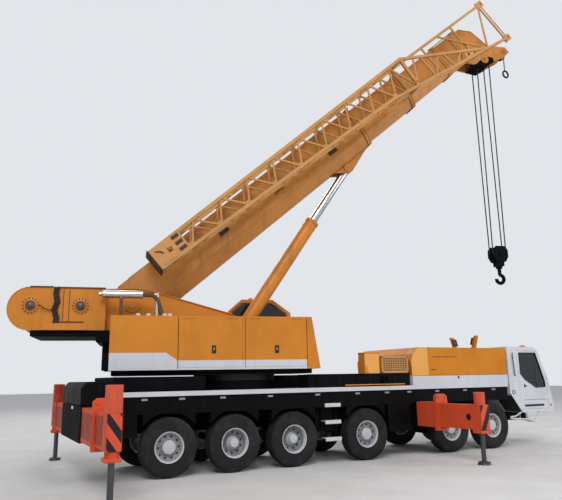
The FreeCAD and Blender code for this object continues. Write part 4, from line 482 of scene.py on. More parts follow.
class Piece:
    """Geometry gathered in one of the local frames, then made into one object on one body.

    A side of -1 mirrors what is added, so that Y is counted outward on the right too.
    """

    def __init__(self, name, body="carrier", place=CARRIER, side=1):
        self.name = name
        self.body = body
        self.place = place
        self.side = side
        self.mesh = bmesh.new()

    def out(self, point):
        """A point on the side at hand."""
        x, y, z = point
        return Vector((x, self.side * y, z))

    def add(self, corners, faces, smooth=False):
        """Raw corners and faces."""
        verts = [self.mesh.verts.new(Vector(c)) for c in corners]
        made = []
        for face in faces:
            try:
                f = self.mesh.faces.new([verts[n] for n in face])
            except ValueError:
                continue
            f.smooth = smooth
            made.append(f)
        return made

    def shell(self, corners, faces, smooth=False):
        """Corners and faces, with the faces turned outward."""
        made = self.add(corners, faces, smooth)
        bmesh.ops.recalc_face_normals(self.mesh, faces=made)
        return made

    def box(self, x, y, z, bevel=0.004):
        """A block between pairs of limits, with broken edges."""
        y = [self.side * limit for limit in y]
        (x0, x1), (y0, y1), (z0, z1) = [sorted(pair) for pair in (x, y, z)]
        corners = [(a, b, c) for a in (x0, x1) for b in (y0, y1) for c in (z0, z1)]
        faces = ((0, 1, 3, 2), (4, 6, 7, 5), (0, 4, 5, 1), (2, 3, 7, 6), (0, 2, 6, 4), (1, 5, 7, 3))
        made = self.add(corners, faces)
        self._bevel(made, min(bevel, 0.3 * min(x1 - x0, y1 - y0, z1 - z0)))

    def _bevel(self, faces, width, segments=1):
        if width <= 0:
            return
        edges = list({edge for face in faces for edge in face.edges})
        bmesh.ops.bevel(self.mesh, geom=edges, offset=width, segments=segments, profile=0.7, affect="EDGES")

    def prism(self, plane, outline, low, high, bevel=0.004, segments=1):
        """An outline on a plane (XZ, YZ or XY) between two planes beside it."""
        s = self.side
        corners = []
        for c in (low, high):
            for a, b in outline:
                corners.append({"XZ": (a, s * c, b), "YZ": (c, s * a, b), "XY": (a, s * b, c)}[plane])
        made = self.shell(corners, plate_faces(len(outline)))
        self._bevel(made, bevel, segments)

    def slab(self, corners, thickness):
        """A flat plate on corners in space, as thick on both sides of them."""
        normal = (corners[1] - corners[0]).cross(corners[2] - corners[0]).normalized()
        shift = normal * thickness / 2
        points = [c - shift for c in corners] + [c + shift for c in corners]
        self.shell(points, plate_faces(len(corners)))

    def tube(self, points, radius, sides=10, closed_ends=True):
        """A round bar along points, with mitred corners."""
        points = [self.out(p) for p in points]
        corners = []
        normal = None
        for index, point in enumerate(points):
            before = (point - points[index - 1]).normalized() if index else None
            after = (points[index + 1] - point).normalized() if index + 1 < len(points) else None
            along = ((before or after) + (after or before)).normalized()
            if normal is None:
                normal = square_to(along)
            normal = (normal - along * normal.dot(along)).normalized()
            side = along.cross(normal)
            stretch = 1.0
            if before and after:
                stretch = 1 / max(0.35, cos(before.angle(after) / 2))
            for k in range(sides):
                a = 2 * pi * k / sides
                corners.append(point + (normal * cos(a) + side * sin(a)) * radius * stretch)
        faces = bands(len(points), sides)
        if closed_ends:
            last = (len(points) - 1) * sides
            faces += [tuple(range(sides - 1, -1, -1)), tuple(range(last, last + sides))]
        made = self.shell(corners, faces, True)
        if closed_ends:
            for face in made[-2:]:
                face.smooth = False

    def loop(self, points, radius, sides=6):
        """A round bar that closes on itself."""
        self.tube(points + points[:2], radius, sides, False)

    def lathe(self, profile, axis="Y", centre=(0, 0, 0), sides=48):
        """A profile of (along, radius) turned round an axis, open where its ends are off it."""
        corners = []
        for along, radius in profile:
            for k in range(sides):
                a = 2 * pi * k / sides
                p, q = radius * cos(a), radius * sin(a)
                turned = {"Y": (p, self.side * along, q), "X": (along, p, q), "Z": (p, q, along)}[axis]
                corners.append(self.out(centre) + Vector(turned))
        self.shell(corners, bands(len(profile), sides), True)

    def bolts(self, spots, normal, radius, height):
        """Six-sided bolt heads standing on a face."""
        normal = self.out(normal).normalized()
        u = square_to(normal)
        v = normal.cross(u)
        for spot in spots:
            corners = []
            for lift, size in ((0, 1), (height * 0.8, 1), (height, 0.8)):
                for k in range(6):
                    a = pi * k / 3
                    across = (u * cos(a) + v * sin(a)) * radius * size
                    corners.append(self.out(spot) + normal * lift + across)
            self.shell(corners, [*bands(3, 6), tuple(range(12, 18))])

    def as_mesh(self, material, crease=30):
        """The mesh with its material, sharp where its faces turn by more than the crease."""
        data = bpy.data.meshes.new(self.name)
        self.mesh.to_mesh(data)
        self.mesh.free()
        data.materials.append(M[material])
        data.set_sharp_from_angle(angle=radians(crease))
        return data

    def done(self, material, replaces=None):
        """The object: placed, riding on its body, with its material and slot."""
        bmesh.ops.transform(self.mesh, matrix=self.place, verts=self.mesh.verts)
        thing = show(self.name, self.as_mesh(material))
        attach(thing, self.body)
        if replaces:
            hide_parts(replaces)
        return thing


def upper_piece(name, body="superstructure"):
    """A piece in the superstructure's frame."""
    return Piece(name, body, UPPER)


def boom_piece(name, body="boom"):
    """A piece in the boom's frame."""
    return Piece(name, body, BOOM)


def both_sides(*pieces):
    """The right side, then the left, with the pieces' Y counted outward."""
    for side in (-1, 1):
        for piece in pieces:
            piece.side = side
        yield side
    for piece in pieces:
        piece.side = 1


# camera and light

PHOTO_WIDTH = 562
FOCAL_LENGTH = 594.5
SENSOR = 36
EYE = (-4.317 + REAR_AXLE, -15.324, 2.215)


def camera():
    """The photograph's viewpoint, from the fit of its wheels, upright edges and known sizes."""
    yaw, pitch, roll = radians(27.60), radians(12.16), radians(-0.91)
    forward = Vector((sin(yaw) * cos(pitch), cos(yaw) * cos(pitch), sin(pitch)))
    right = Vector((cos(yaw), -sin(yaw), 0))
    up = right.cross(forward)
    rolled = (right * cos(roll) + up * sin(roll), up * cos(roll) - right * sin(roll), -forward)
    data = bpy.data.cameras.new("photo_camera")
    data.sensor_width = SENSOR
    data.lens = FOCAL_LENGTH / PHOTO_WIDTH * SENSOR
    data.clip_end = 400
    thing = show("photo_camera", data)
    thing.matrix_world = Matrix.Translation(EYE) @ Matrix(rolled).transposed().to_4x4()
    bpy.context.scene.camera = thing


def studio():
    """Pale floor and backdrop, soft light from above, and one broad key from the camera's side."""
    data = bpy.data.meshes.new("floor")
    data.from_pydata([(-90, -60, 0), (90, -60, 0), (90, 110, 0), (-90, 110, 0)], [], [(0, 1, 2, 3)])
    floor = show("floor", data)
    s = Shader("floor_pale", 0.9)
    pale = s.ramp(s.noise(0.8, 5.0), ((0.3, srgb(196, 195, 193)), (0.7, srgb(208, 207, 205))))
    data.materials.append(s.finish(pale))
    world = bpy.data.worlds.new("studio")
    bpy.context.scene.world = world
    world.use_nodes = True
    nodes, link = world.node_tree.nodes, world.node_tree.links.new
    back = nodes["Background"]
    shown = nodes.new("ShaderNodeBackground")
    for node, colour, strength in ((back, (0.93, 0.95, 1.0, 1), 0.62), (shown, srgb(226, 229, 233), 1.0)):
        node.inputs["Color"].default_value = colour
        node.inputs["Strength"].default_value = strength
    path = nodes.new("ShaderNodeLightPath")
    blend = nodes.new("ShaderNodeMixShader")
    link(path.outputs["Is Camera Ray"], blend.inputs["Fac"])
    link(back.outputs["Background"], blend.inputs[1])
    link(shown.outputs["Background"], blend.inputs[2])
    link(blend.outputs["Shader"], nodes["World Output"].inputs["Surface"])
    for name, spot, aim, power in (
        ("key", (-16, -26, 26), (0, 0, 4), 6500),
        ("fill", (22, -18, 14), (2, 0, 4), 2600),
        ("rim_light", (4, 26, 24), (0, 0, 5), 3000),
    ):
        data = bpy.data.lights.new(name, "AREA")
        data.size = 16
        data.energy = power
        lamp = show(name, data)
        lamp.location = spot
        lamp.rotation_euler = (Vector(aim) - Vector(spot)).to_track_quat("-Z", "Y").to_euler()


bpy.context.scene.view_settings.view_transform = "Standard"
camera()
studio()


# wheels

def tread(name, chunky):
    """A tyre's mesh: rounded sidewalls with rings, and a tread of blocks cut by grooves."""
    piece = Piece(name, place=Matrix())
    profile = [
        (-0.150, 0.362), (-0.172, 0.375), (-0.184, 0.430), (-0.1875, 0.500), (-0.186, 0.560),
        (-0.182, 0.566), (-0.182, 0.574), (-0.183, 0.580), (-0.176, 0.622), (-0.166, 0.650), (-0.152, 0.662),
    ]
    profile += [(-y, r) for y, r in reversed(profile)]
    piece.lathe(profile, sides=64)
    count, slant, gap = (44, 0.035, 0.36) if chunky else (60, 0.012, 0.14)
    rows = ((-0.160, -0.085), (-0.078, -0.004), (0.004, 0.078), (0.085, 0.160))
    for index, (low, high) in enumerate(rows):
        outer = index in (0, 3)
        for k in range(count):
            a0 = 2 * pi * (k + 0.5 * (index % 2)) / count
            a1 = a0 + 2 * pi / count * (1 - gap)
            corners = []
            for radius in (0.655, TYRE_R - (0.006 if outer else 0)):
                for along, shift in ((low, -slant), (high, slant)):
                    worn = outer and abs(along) > 0.15 and radius > 0.66
                    r = radius - 0.010 if worn else radius
                    for a in (a0, a1):
                        angle = a + shift * (1 if index < 2 else -1) / TYRE_R
                        corners.append((r * cos(angle), along, r * sin(angle)))
            piece.shell(corners, ((4, 5, 7, 6), (0, 4, 6, 2), (1, 3, 7, 5), (0, 1, 5, 4), (2, 6, 7, 3)))
            if outer and chunky:
                corners = []
                for radius, out in ((0.60, 0.186), (0.668, 0.168)):
                    for depth in (0.0, 0.012):
                        y = copysign(out - depth, index - 1)
                        corners += [(radius * cos(a), y, radius * sin(a)) for a in (a0, a1 - 0.02)]
                piece.shell(corners, ((0, 1, 5, 4), (2, 6, 7, 3), (0, 4, 6, 2), (1, 3, 7, 5), (4, 5, 7, 6)))
    return piece


def disc_at(deep):
    """How far out the disc of a wheel stands."""
    return -0.060 if deep else 0.066


def rim(name, deep):
    """A wheel: rolled lips, dished disc, wheel nuts and a domed hub."""
    piece = Piece(name, place=Matrix())
    face = disc_at(deep)
    hub_top = 0.150
    profile = [
        (-0.165, 0.330), (-0.165, 0.354), (-0.150, 0.354), (-0.120, 0.330), (0.120, 0.330), (0.150, 0.3545),
        (0.163, 0.3545), (0.165, 0.350), (0.160, 0.336), (0.140, 0.322), (face + 0.030, 0.300),
        (face + 0.008, 0.270), (face, 0.225), (face + 0.004, 0.205), (face + 0.018, 0.200),
        (face + 0.020, 0.165),
    ]
    if deep:
        profile += [(face + 0.070, 0.140), (face + 0.090, 0.122), (0.105, 0.115), (0.120, 0.105)]
        profile += [(0.132, 0.060), (0.135, 0.0)]
    else:
        profile += [(0.118, 0.160), (0.132, 0.156), (0.146, 0.144), (hub_top, 0.128), (hub_top + 0.004, 0.0)]
    piece.lathe(profile, sides=56)
    back = [(-0.165, 0.330), (-0.10, 0.318), (face - 0.03, 0.310), (face - 0.028, 0.150)]
    piece.lathe(back + [(-0.08, 0.14), (-0.08, 0.08)], sides=40)
    piece.bolts(ring_of(10, 0.176, (0, face + 0.018, 0)), (0, 1, 0), 0.017, 0.030)
    cap = ring_of(8, 0.085, (0, 0.126 if deep else hub_top + 0.001, 0), 0.25)
    piece.bolts(cap, (0, 1, 0), 0.009, 0.008)
    return piece


def rim_holes(name, deep):
    """Black plugs at the hand holes round the dish of a wheel: painted shade where the holes are."""
    piece = Piece(name, place=Matrix())
    for spot in ring_of(10, 0.252, (0, disc_at(deep), 0), 0.5):
        piece.lathe([(-0.02, 0.028), (0.010, 0.028), (0.010, 0.0)], centre=spot, sides=14)
    return piece


def wheels():
    """Twelve wheels, each a tyre and a rim standing for the plain solids."""
    kinds = []
    for kind, make, mesh, material, slot, special in (
        ("tyre", tread, "tread", "tyre", "tyre", (3, 4)),
        ("rim", rim, "wheel", "rim", "rim_paint", (4, 5)),
        ("rim_holes", rim_holes, "holes", "trim", "chassis_black", (4, 5)),
    ):
        shared = {flag: make(f"{mesh}_{flag}", flag).as_mesh(material, 32) for flag in (True, False)}
        kinds.append((kind, shared, slot, special))
    for number, x in enumerate(AXLES, start=1):
        for word, sign in SIDES:
            place = CARRIER @ Matrix.Translation((x, sign * WHEEL_OUT, TYRE_R))
            place = place @ Matrix.Rotation(0 if sign > 0 else pi, 4, "Z")
            place = place @ Matrix.Rotation(0.37 * number, 4, "Y")
            for kind, shared, slot, special in kinds:
                thing = show(f"{kind}_look_{number}_{word}", shared[number in special])
                thing.matrix_world = place
                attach(thing, f"wheel_{number}_{word}")
                if kind != "rim_holes":
                    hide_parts(f"{kind}_{number}_{word}")


wheels()


# the driver's cab

WINDOW = (
    (11.690, 2.230), (11.870, 2.050), (12.350, 1.790), (12.790, 1.810), (12.790, 1.980), (12.460, 2.900),
    (11.690, 2.900),
)


def grown(outline, amount):
    """An outline drawn out from its middle."""
    cx = sum(p[0] for p in outline) / len(outline)
    cz = sum(p[1] for p in outline) / len(outline)
    drawn = []
    for x, z in outline:
        d = hypot(x - cx, z - cz)
        drawn.append((x + (x - cx) * amount / d, z + (z - cz) * amount / d))
    return drawn


def doors():
    """Each door's glass, window rubber, pressings, hinges and dark lines."""
    for word, sign in SIDES:
        body = f"door_{word}"
        glass = Piece(f"side_glass_{word}", body, side=sign)
        glass.prism("XZ", grown(WINDOW, 0.012), 1.352, 1.358, 0)
        glass.done("glass")
        rubber_ring = Piece(f"window_rubber_{word}", body, side=sign)
        rubber_ring.loop([(x, 1.374, z) for x, z in grown(WINDOW, 0.004)], 0.014, 8)
        rubber_ring.box((12.40, 12.425), (1.350, 1.366), (1.80, 2.89), 0.002)
        rubber_ring.box((11.80, 11.93), (1.372, 1.392), (1.835, 1.865), 0.006)
        rubber_ring.box((11.815, 11.835), (1.372, 1.40), (1.80, 1.90))
        rubber_ring.done("trim")
        seam = Piece(f"door_pressing_{word}", body, side=sign)
        seam.box((11.63, 12.87), (1.374, 1.379), (1.395, 1.415), 0.002)
        seam.box((11.63, 12.87), (1.374, 1.381), (1.150, 1.165), 0.002)
        for z in (1.30, 2.10):
            seam.tube([(12.885, 1.382, z - 0.06), (12.885, 1.382, z + 0.06)], 0.013)
        seam.done("white")
        lines = Piece(f"door_lines_{word}", body, side=sign)
        lines.box((11.76, 12.80), (1.3745, 1.3795), (1.400, 1.412), 0.001)
        lines.box((11.76, 12.66), (1.3745, 1.3815), (1.195, 1.262), 0.002)
        lines.done("trim")


def cab():
    """The cab's grab rails, screen rubber, wipers, grille, lamps, steps, and a black band of painted shade
    at its rear arch.
    """
    trim = Piece("cab_black_trim")
    trim.box((13.02, 13.13), (-1.30, 1.30), (1.10, 1.20), 0.02)
    rail = [(11.44, 1.388, 2.17), (11.40, 1.405, 2.22), (11.36, 1.405, 2.85), (11.40, 1.388, 2.90)]
    for _ in both_sides(trim):
        trim.tube(rail, 0.014)
    for _ in both_sides(trim):
        cap = [(1.374, 0.068), (1.384, 0.066), (1.384, 0.048), (1.376, 0.046)]
        trim.lathe(cap, "Y", (11.31, 0, 1.66), 24)
    x0, z0, x1, z1 = 12.965, 2.06, 12.60, 2.95
    for y in (-1.20, 1.20):
        trim.tube([(x0 + 0.006, y, z0), (x1 + 0.006, y, z1)], 0.014)
    for x, z in ((x0, z0), (x1, z1)):
        trim.tube([(x + 0.006, -1.20, z), (x + 0.006, 1.20, z)], 0.014)
    for y in (-0.62, 0.30):
        trim.tube([(x0 + 0.06, y, z0 - 0.02), (x0 - 0.20, y + 0.42, z0 + 0.62)], 0.008)
        trim.tube([(x0 - 0.085, y + 0.16, z0 + 0.20), (x0 - 0.30, y + 0.50, z0 + 0.86)], 0.011)
    for k in range(5):
        trim.box((13.03, 13.075), (-0.72, 0.72), (1.50 + 0.07 * k, 1.535 + 0.07 * k), 0.006)
    trim.done("trim")

    lamps = Piece("head_lamps")
    for _ in both_sides(lamps):
        for y in (0.92, 1.12):
            lens = [(13.115, 0.085), (13.128, 0.08), (13.134, 0.05), (13.136, 0.0)]
            lamps.lathe(lens, "X", (0, y, 1.30), 24)
    lamps.done("lamp")
    amber = Piece("turn_lamps")
    for y in (-0.95, 0.95):
        amber.lathe([(3.10, 0.10), (3.15, 0.10), (3.175, 0.08), (3.185, 0.0)], "Z", (12.39, y, 0), 24)
    amber.done("amber")
    red = Piece("side_markers")
    for _ in both_sides(red):
        red.lathe([(1.376, 0.032), (1.386, 0.03), (1.390, 0.0)], "Y", (12.98, 0, 1.215), 16)
    red.done("red_lens")

    steps = Piece("cab_steps")
    for _ in both_sides(steps):
        steps.tube([(11.62, 1.34, 1.04), (11.35, 1.34, 0.92), (11.10, 1.34, 0.90)], 0.022)
        low_rail = [(11.10, 1.34, 0.86), (11.85, 1.34, 0.80), (12.18, 1.34, 0.72), (12.42, 1.34, 1.02)]
        steps.tube(low_rail, 0.024)
        for x, z in ((11.85, 0.80), (12.18, 0.72)):
            steps.tube([(x, 1.34, z), (x, 1.05, z)], 0.020)
        for x, z in ((11.85, 0.80), (12.18, 0.72)):
            steps.tube([(x, 1.05, z), (x, 1.05, 1.05)], 0.018)
        steps.box((11.88, 12.15), (1.08, 1.34), (0.755, 0.775), 0.003)
        steps.box((12.20, 12.90), (1.30, 1.376), (1.03, 1.06), 0.006)
        steps.tube([(12.0, 1.34, 0.79), (11.75, 1.34, 1.04)], 0.018)
    steps.done("white")

    # Painted shade: a black slanting band inside the cab's rear arch.
    shade = Piece("cab_rear_arch")
    for _ in both_sides(shade):
        arch = ((11.20, 1.55), (11.60, 1.03), (11.64, 1.05), (11.24, 1.58))
        shade.prism("XZ", arch, 0.70, 1.372, 0.003)
    shade.done("trim")


# hood and deck

def hood():
    """Seams, slots and latches on the hood, the boom rest's pads, and the deck's grille and locker lid."""
    trim = Piece("hood_trim")
    for _ in both_sides(trim):
        for x, z, depth, bevel in (
            ((8.02, 8.98), (2.764, 2.780), 0.004, 0.001),
            ((7.95, 8.14), (2.385, 2.405), 0.006, 0.001),
            ((7.26, 11.08), (2.219, 2.227), 0.004, 0.0005),
            ((8.98, 9.03), (2.13, 2.20), 0.02, 0.006),
        ):
            trim.box(x, (SKIN, SKIN + depth), z, bevel)
    for k in range(9):
        trim.box((7.95 + 0.09 * k, 7.985 + 0.09 * k), (-0.6, 0.6), (3.049, 3.056), 0.001)
    trim.box((10.52, 10.84), (-0.50, 0.50), (3.045, 3.062), 0.006)
    for _ in both_sides(trim):
        pad = ((0.50, 3.43), (0.42, 3.20), (0.36, 3.21), (0.44, 3.44))
        trim.prism("YZ", pad, REST_X - 0.09, REST_X + 0.09, 0.006)
    trim.done("trim")

    grille = Piece("grille_front")
    x0, x1, z0, z1 = 6.18, 7.14, 2.30, 2.79
    y = -1.312
    columns, rows = 10, 6
    for k in range(columns + 1):
        x = x0 + 0.05 + (x1 - x0 - 0.10) * k / columns
        grille.box((x - 0.017, x + 0.017), (y, y - 0.012), (z0 + 0.06, z1 - 0.05), 0.002)
    for k in range(rows + 1):
        z = z0 + 0.06 + (z1 - z0 - 0.11) * k / rows
        grille.box((x0 + 0.05, x1 - 0.05), (y - 0.001, y - 0.014), (z - 0.013, z + 0.013), 0.002)
    for x, z in (
        ((x0, x1), (z1 - 0.04, z1 + 0.002)),
        ((x0, x1), (z0 + 0.01, z0 + 0.05)),
        ((x0, x0 + 0.04), (z0 + 0.01, z1)),
        ((x1 - 0.04, x1), (z0 + 0.01, z1)),
    ):
        grille.box(x, (y + 0.004, y - 0.018), z)
    grille.done("jib")
    holes = Piece("grille_shadow")
    holes.box((x0 + 0.03, x1 - 0.03), (y + 0.002, y - 0.003), (z0 + 0.03, z1 - 0.03), 0.001)
    holes.done("trim")
    lids = Piece("deck_locker_lid")
    lids.box((5.60, 6.12), (-1.32, -0.99), (2.86, 2.892), 0.008)
    lids.prism("XZ", ((5.60, 2.30), (5.74, 2.30), (5.68, 2.50), (5.60, 2.55)), -1.316, -1.300, 0.002)
    lids.done("orange")


def deck():
    """Lamps under the rim, step treads, side seams, wheel arches, and a black block on the rear deck that is
    painted shade under the turntable.
    """
    marks = Piece("rim_markers")
    for x in (-0.62, 0.28, 1.32, 2.62, 4.02, 5.30, 6.30, 7.10, 8.15, 9.25, 10.45):
        for _ in both_sides(marks):
            marks.box((x - 0.075, x + 0.075), (1.331, 1.331 + 0.035), (1.745, 1.795), 0.010)
    marks.done("marker")
    lamps = Piece("tail_lamp")
    lamps.box((-2.06, -2.035), (-0.40, -0.26), (1.585, 1.655), 0.012)
    lamps.done("lamp")
    treads = Piece("step_treads")
    for z in (0.600, 1.035, 1.470):
        treads.box((4.225, 4.715), (-1.380, -1.345), (z - 0.03, z + 0.068), 0.006)
        treads.box((4.225, 4.715), (-1.345, -1.120), (z + 0.034, z + 0.048))
    treads.done("white")

    black = Piece("deck_gear")
    for x in (-1.0, 0.8, 2.45, 4.45, 7.0, 9.45):
        for _ in both_sides(black):
            black.box((x - 0.03, x + 0.03), (1.329, 1.337), (1.44, 1.84), 0.002)
    for _ in both_sides(black):
        for x, radius in ((4.95, 0.12), (2.47, 0.10)):
            drum = [(0.62, 0.0), (0.62, radius), (1.0, radius), (1.0, 0.0)]
            black.lathe(drum, "Y", (x, 0, 1.28), 24)
    black.lathe([(-1.372, 0.11), (-1.378, 0.11), (-1.378, 0.075), (-1.30, 0.07)], "Y", (6.27, 0, 2.14), 28)
    for k in range(16):
        x = 3.80 + 0.21 * k
        black.box((x, x + 0.018), (-1.322, -1.312), (1.97, 2.29), 0.002)
    for _ in both_sides(black):
        black.box((3.72, 7.20), (1.30, 1.335), (2.285, 2.305))
    arc = []
    for step in range(9):
        a = radians(20 + 140 * step / 8)
        arc.append((cos(a) * 0.80, TYRE_R + sin(a) * 0.80))
    for _ in both_sides(black):
        for x in AXLES[2:]:
            for (a, b), (c, d) in zip(arc, arc[1:]):
                if min(b, d) < 1.0:
                    continue
                arch = ((x + a, min(b, 1.452)), (x + c, min(d, 1.452)), (x + c, 1.456), (x + a, 1.456))
                black.prism("XZ", arch, 1.05, 1.325, 0)
    # Painted shade: a black block on the rear deck stands for the shade under the turntable.
    black.box((-1.30, 0.95), (-1.16, 1.16), (1.955, 2.295), 0.02)
    black.done("black")
    strip = Piece("deck_orange_strip")
    strip.box((4.91, 6.94), (-1.372, -1.325), (1.985, 2.015))
    strip.done("orange")


doors()
cab()
hood()
deck()


# outriggers

def collar(name, sign, x, width, low, high, tube_end):
    """The lugs, pins, foot strip and bolts round the end of an outrigger's tube."""
    piece = Piece(name, side=sign)
    top = high + 0.0255 + 0.03
    lug = (
        (x - width - 0.025, top - 0.02), (x - width - 0.025, top + 0.13), (x - width + 0.06, top + 0.20),
        (x + width - 0.06, top + 0.20), (x + width + 0.025, top + 0.13), (x + width + 0.025, top - 0.02),
    )
    for y in (tube_end - 0.115, tube_end - 0.03):
        piece.prism("XZ", lug, y, y + 0.022)
    for dx in (-width + 0.05, width - 0.05):
        piece.tube([(x + dx, tube_end + dy, top + 0.11) for dy in (-0.145, 0.02)], 0.032, 14)
    base = low - 0.0255 - 0.03
    strip = (x - width - 0.03, x + width + 0.03)
    piece.box(strip, (tube_end - 0.12, tube_end), (base - 0.05, base + 0.005), 0.008)
    for dx in (-1, 1):
        heights = (low + 0.08, (low + high) / 2, high - 0.08)
        spots = [(x + dx * (width + 0.031), tube_end - 0.06, z) for z in heights]
        piece.bolts(spots, (dx, 0, 0), 0.018, 0.014)
    piece.done("red")


def outriggers():
    """Collars on the tubes, banded arm ends, jack heads and the pans of the feet."""
    for end, x, width, half, low, high, tube_end, arm_end, top in (
        ("rear", -1.83, 0.17, 0.137, 0.9545, 1.6245, 2.80, 3.90, 2.13),
        ("front", 7.495, 0.175, 0.142, 0.8455, 1.4645, 2.24, 3.79, 1.77),
    ):
        front = end == "front"
        jack = arm_end - 0.15
        for word, sign in SIDES:
            collar(f"collar_lugs_{end}_{word}", sign, x, width, low, high, tube_end)
            arm = f"arm_{end}_{word}"
            plate = Piece(f"end_plate_{end}_{word}", arm, side=sign)
            plate.box((x - half, x + half), (arm_end, arm_end + 0.005), (low, high), 0.001)
            if front:
                hole = Piece(f"arm_hole_rim_{end}_{word}", arm, side=sign)
                for dx in (-1, 1):
                    edge = x + dx * half
                    plate.box((edge, edge + dx * 0.005), (arm_end - 0.173, arm_end), (low, high), 0.001)
                    face = edge + dx * 0.004
                    cover = [(edge, 0.0), (edge, 0.112), (face, 0.112), (face, 0.0)]
                    hole.lathe(cover, "X", (0, 3.285, 1.125), 28)
            plate.done(f"bands_{end}")
            if front:
                hole.done("trim")

            head = Piece(f"jack_head_{end}_{word}", arm, side=sign)
            base = high - 0.03
            if front:
                profile = [(base, 0.139), (top, 0.139), (top + 0.010, 0.128), (top + 0.010, 0.0)]
                head.lathe(profile, "Z", (x, jack, 0), 40)
            else:
                near, far = jack - 0.12, jack + 0.142
                outline = ((x - 0.142, near), (x - 0.142, far), (x + 0.142, far), (x + 0.142, near))
                head.prism("XY", outline, base, top + 0.012, 0.018, 2)
                spots = [(x + dx, jack + 0.143, z) for dx in (-0.1, 0.1) for z in (top - 0.06, base + 0.12)]
                head.bolts(spots, (0, 1, 0), 0.014, 0.010)
            head.box((x - 0.16, x + 0.16), (jack - 0.16, jack + 0.15), (0.765, 0.84), 0.01)
            head.done("red")

            foot = Piece(f"jack_foot_pan_{end}_{word}", f"jack_{end}_{word}", side=sign)
            pan = [(0.004, 0.0), (0.004, 0.155), (0.020, 0.168), (0.034, 0.160), (0.044, 0.118)]
            pan += [(0.073, 0.098), (0.088, 0.072), (0.095, 0.063)]
            foot.lathe(pan, "Z", (x, jack, 0), 40)
            foot.done("leg")


# superstructure

def turntable():
    """Ring bolts, the dark frames under the winches, and the flanges and pin caps of the cheeks."""
    gear = upper_piece("slewing_ring_bolts")
    gear.bolts(ring_of(48, 1.075, (0, 0, 2.315), axis="Z"), (0, 0, -1), 0.018, 0.02)
    gear.done("black")
    dark = upper_piece("turntable_dark")
    for _ in both_sides(dark):
        dark.box((-3.18, 1.88), (1.06, 1.104), (2.335, 2.447), 0.008)
    dark.box((-5.15, -3.46), (-0.86, 0.86), (3.30, 3.449), 0.02)
    dark.box((-3.60, -3.22), (-0.95, 0.95), (3.15, 3.449), 0.02)
    for y in (-0.62, 0.62):
        dark.box((-3.45, -3.21), (y - 0.08, y + 0.08), (2.46, 3.3), 0.02)
    dark.done("black")
    winches()

    flange = upper_piece("cheek_flanges")
    line = [(1.90, 2.80), (-0.20, 3.92), (-2.32, 4.50), (-2.65, 4.55), (-3.40, 4.51)]
    for _ in both_sides(flange):
        for (a, b), (c, d) in zip(line, line[1:]):
            strip = ((a, b - 0.005), (c, d - 0.005), (c, d + 0.018), (a, b + 0.018))
            flange.prism("XZ", strip, 0.535, 0.655, 0.003)
        cap = [(0.62, 0.22), (0.66, 0.215), (0.665, 0.13), (0.69, 0.12), (0.69, 0.0)]
        flange.lathe(cap, "Y", PIN, 40)
        flange.bolts(ring_of(12, 0.175, (PIN.x, 0.663, PIN.z)), (0, 1, 0), 0.016, 0.016)
    flange.done("orange")


def winches():
    """The two winches' end rings, caps and rope, their side plates, and the hoses down one of them."""
    bosses = upper_piece("winch_bosses")
    caps = upper_piece("winch_caps")
    rust = upper_piece("winch_rings")
    drums = (-5.17, -4.00)
    y = 0.90
    for x in drums:
        for _ in both_sides(bosses, caps, rust):
            axis = ("Y", (x, 0, WINCH_Z))
            ring = [(y, 0.205), (y + 0.016, 0.202), (y + 0.018, 0.15), (y + 0.03, 0.12), (y + 0.03, 0.0)]
            bosses.lathe(ring, *axis, 40)
            rust.bolts(ring_of(14, 0.178, (x, y + 0.017, WINCH_Z)), (0, 1, 0), 0.020, 0.014)
            rust.lathe([(y + 0.024, 0.128), (y + 0.036, 0.126), (y + 0.036, 0.100)], *axis, 32)
            cap = [(y + 0.02, 0.086), (y + 0.075, 0.084), (y + 0.10, 0.060), (y + 0.108, 0.0)]
            caps.lathe(cap, *axis, 28)
    bend = []
    for k in range(17):
        a = radians(90 + 180 * k / 16)
        bend.append((drums[0] + 0.53 * cos(a), 0.903, 3.98 + 0.53 * sin(a)))
    for _ in both_sides(bosses):
        foot = ((-4.92, 3.45), (-3.80, 3.45), (-3.86, 3.62), (-4.86, 3.62))
        bosses.prism("XZ", foot, 0.90, 0.935, 0.006)
        bosses.tube(bend, 0.012, 8)
        bosses.box((-5.17, -3.42), (0.895, 0.915), (4.495, 4.515))
    bosses.done("orange")
    caps.done("leg")
    for u0, u1, z in ((-5.20, -4.66, 4.525), (-4.58, -3.42, 4.512)):
        rust.box((u0, u1), (-0.93, -0.90), (z - 0.02, z + 0.012))
    rust.box((-4.56, -3.92), (-0.925, -0.90), (3.640, 3.665), 0.003)
    for u in (-4.42, -4.28):
        rust.box((u, u + 0.014), (-0.915, -0.90), (3.68, 4.46), 0.002)
    rust.done("rust")

    rope = upper_piece("winch_rope")
    turns = 30
    for x in drums:
        profile = []
        for k in range(turns):
            y = -0.45 + 0.9 * k / (turns - 1)
            profile += [(y - 0.012, 0.292), (y, 0.305), (y + 0.012, 0.292)]
        rope.lathe(profile, "Y", (x, 0, WINCH_Z), 36)
    rope.done("rope")

    hoses = upper_piece("winch_hoses")
    hang = [
        (-4.62, -0.915, 4.52), (-4.64, -0.95, 4.35), (-4.60, -0.93, 4.15), (-4.66, -0.95, 3.95),
        (-4.60, -0.93, 3.75), (-4.62, -0.915, 3.60),
    ]
    for shift in (0, 0.05, 0.10):
        hoses.tube([(x + shift, y, z) for x, y, z in hang], 0.020, 8)
    short = [(-4.98, -0.98, 4.07), (-4.85, -0.97, 3.98), (-4.72, -0.95, 3.93), (-4.62, -0.93, 3.98)]
    hoses.tube(short, 0.012, 8)
    hoses.done("trim")


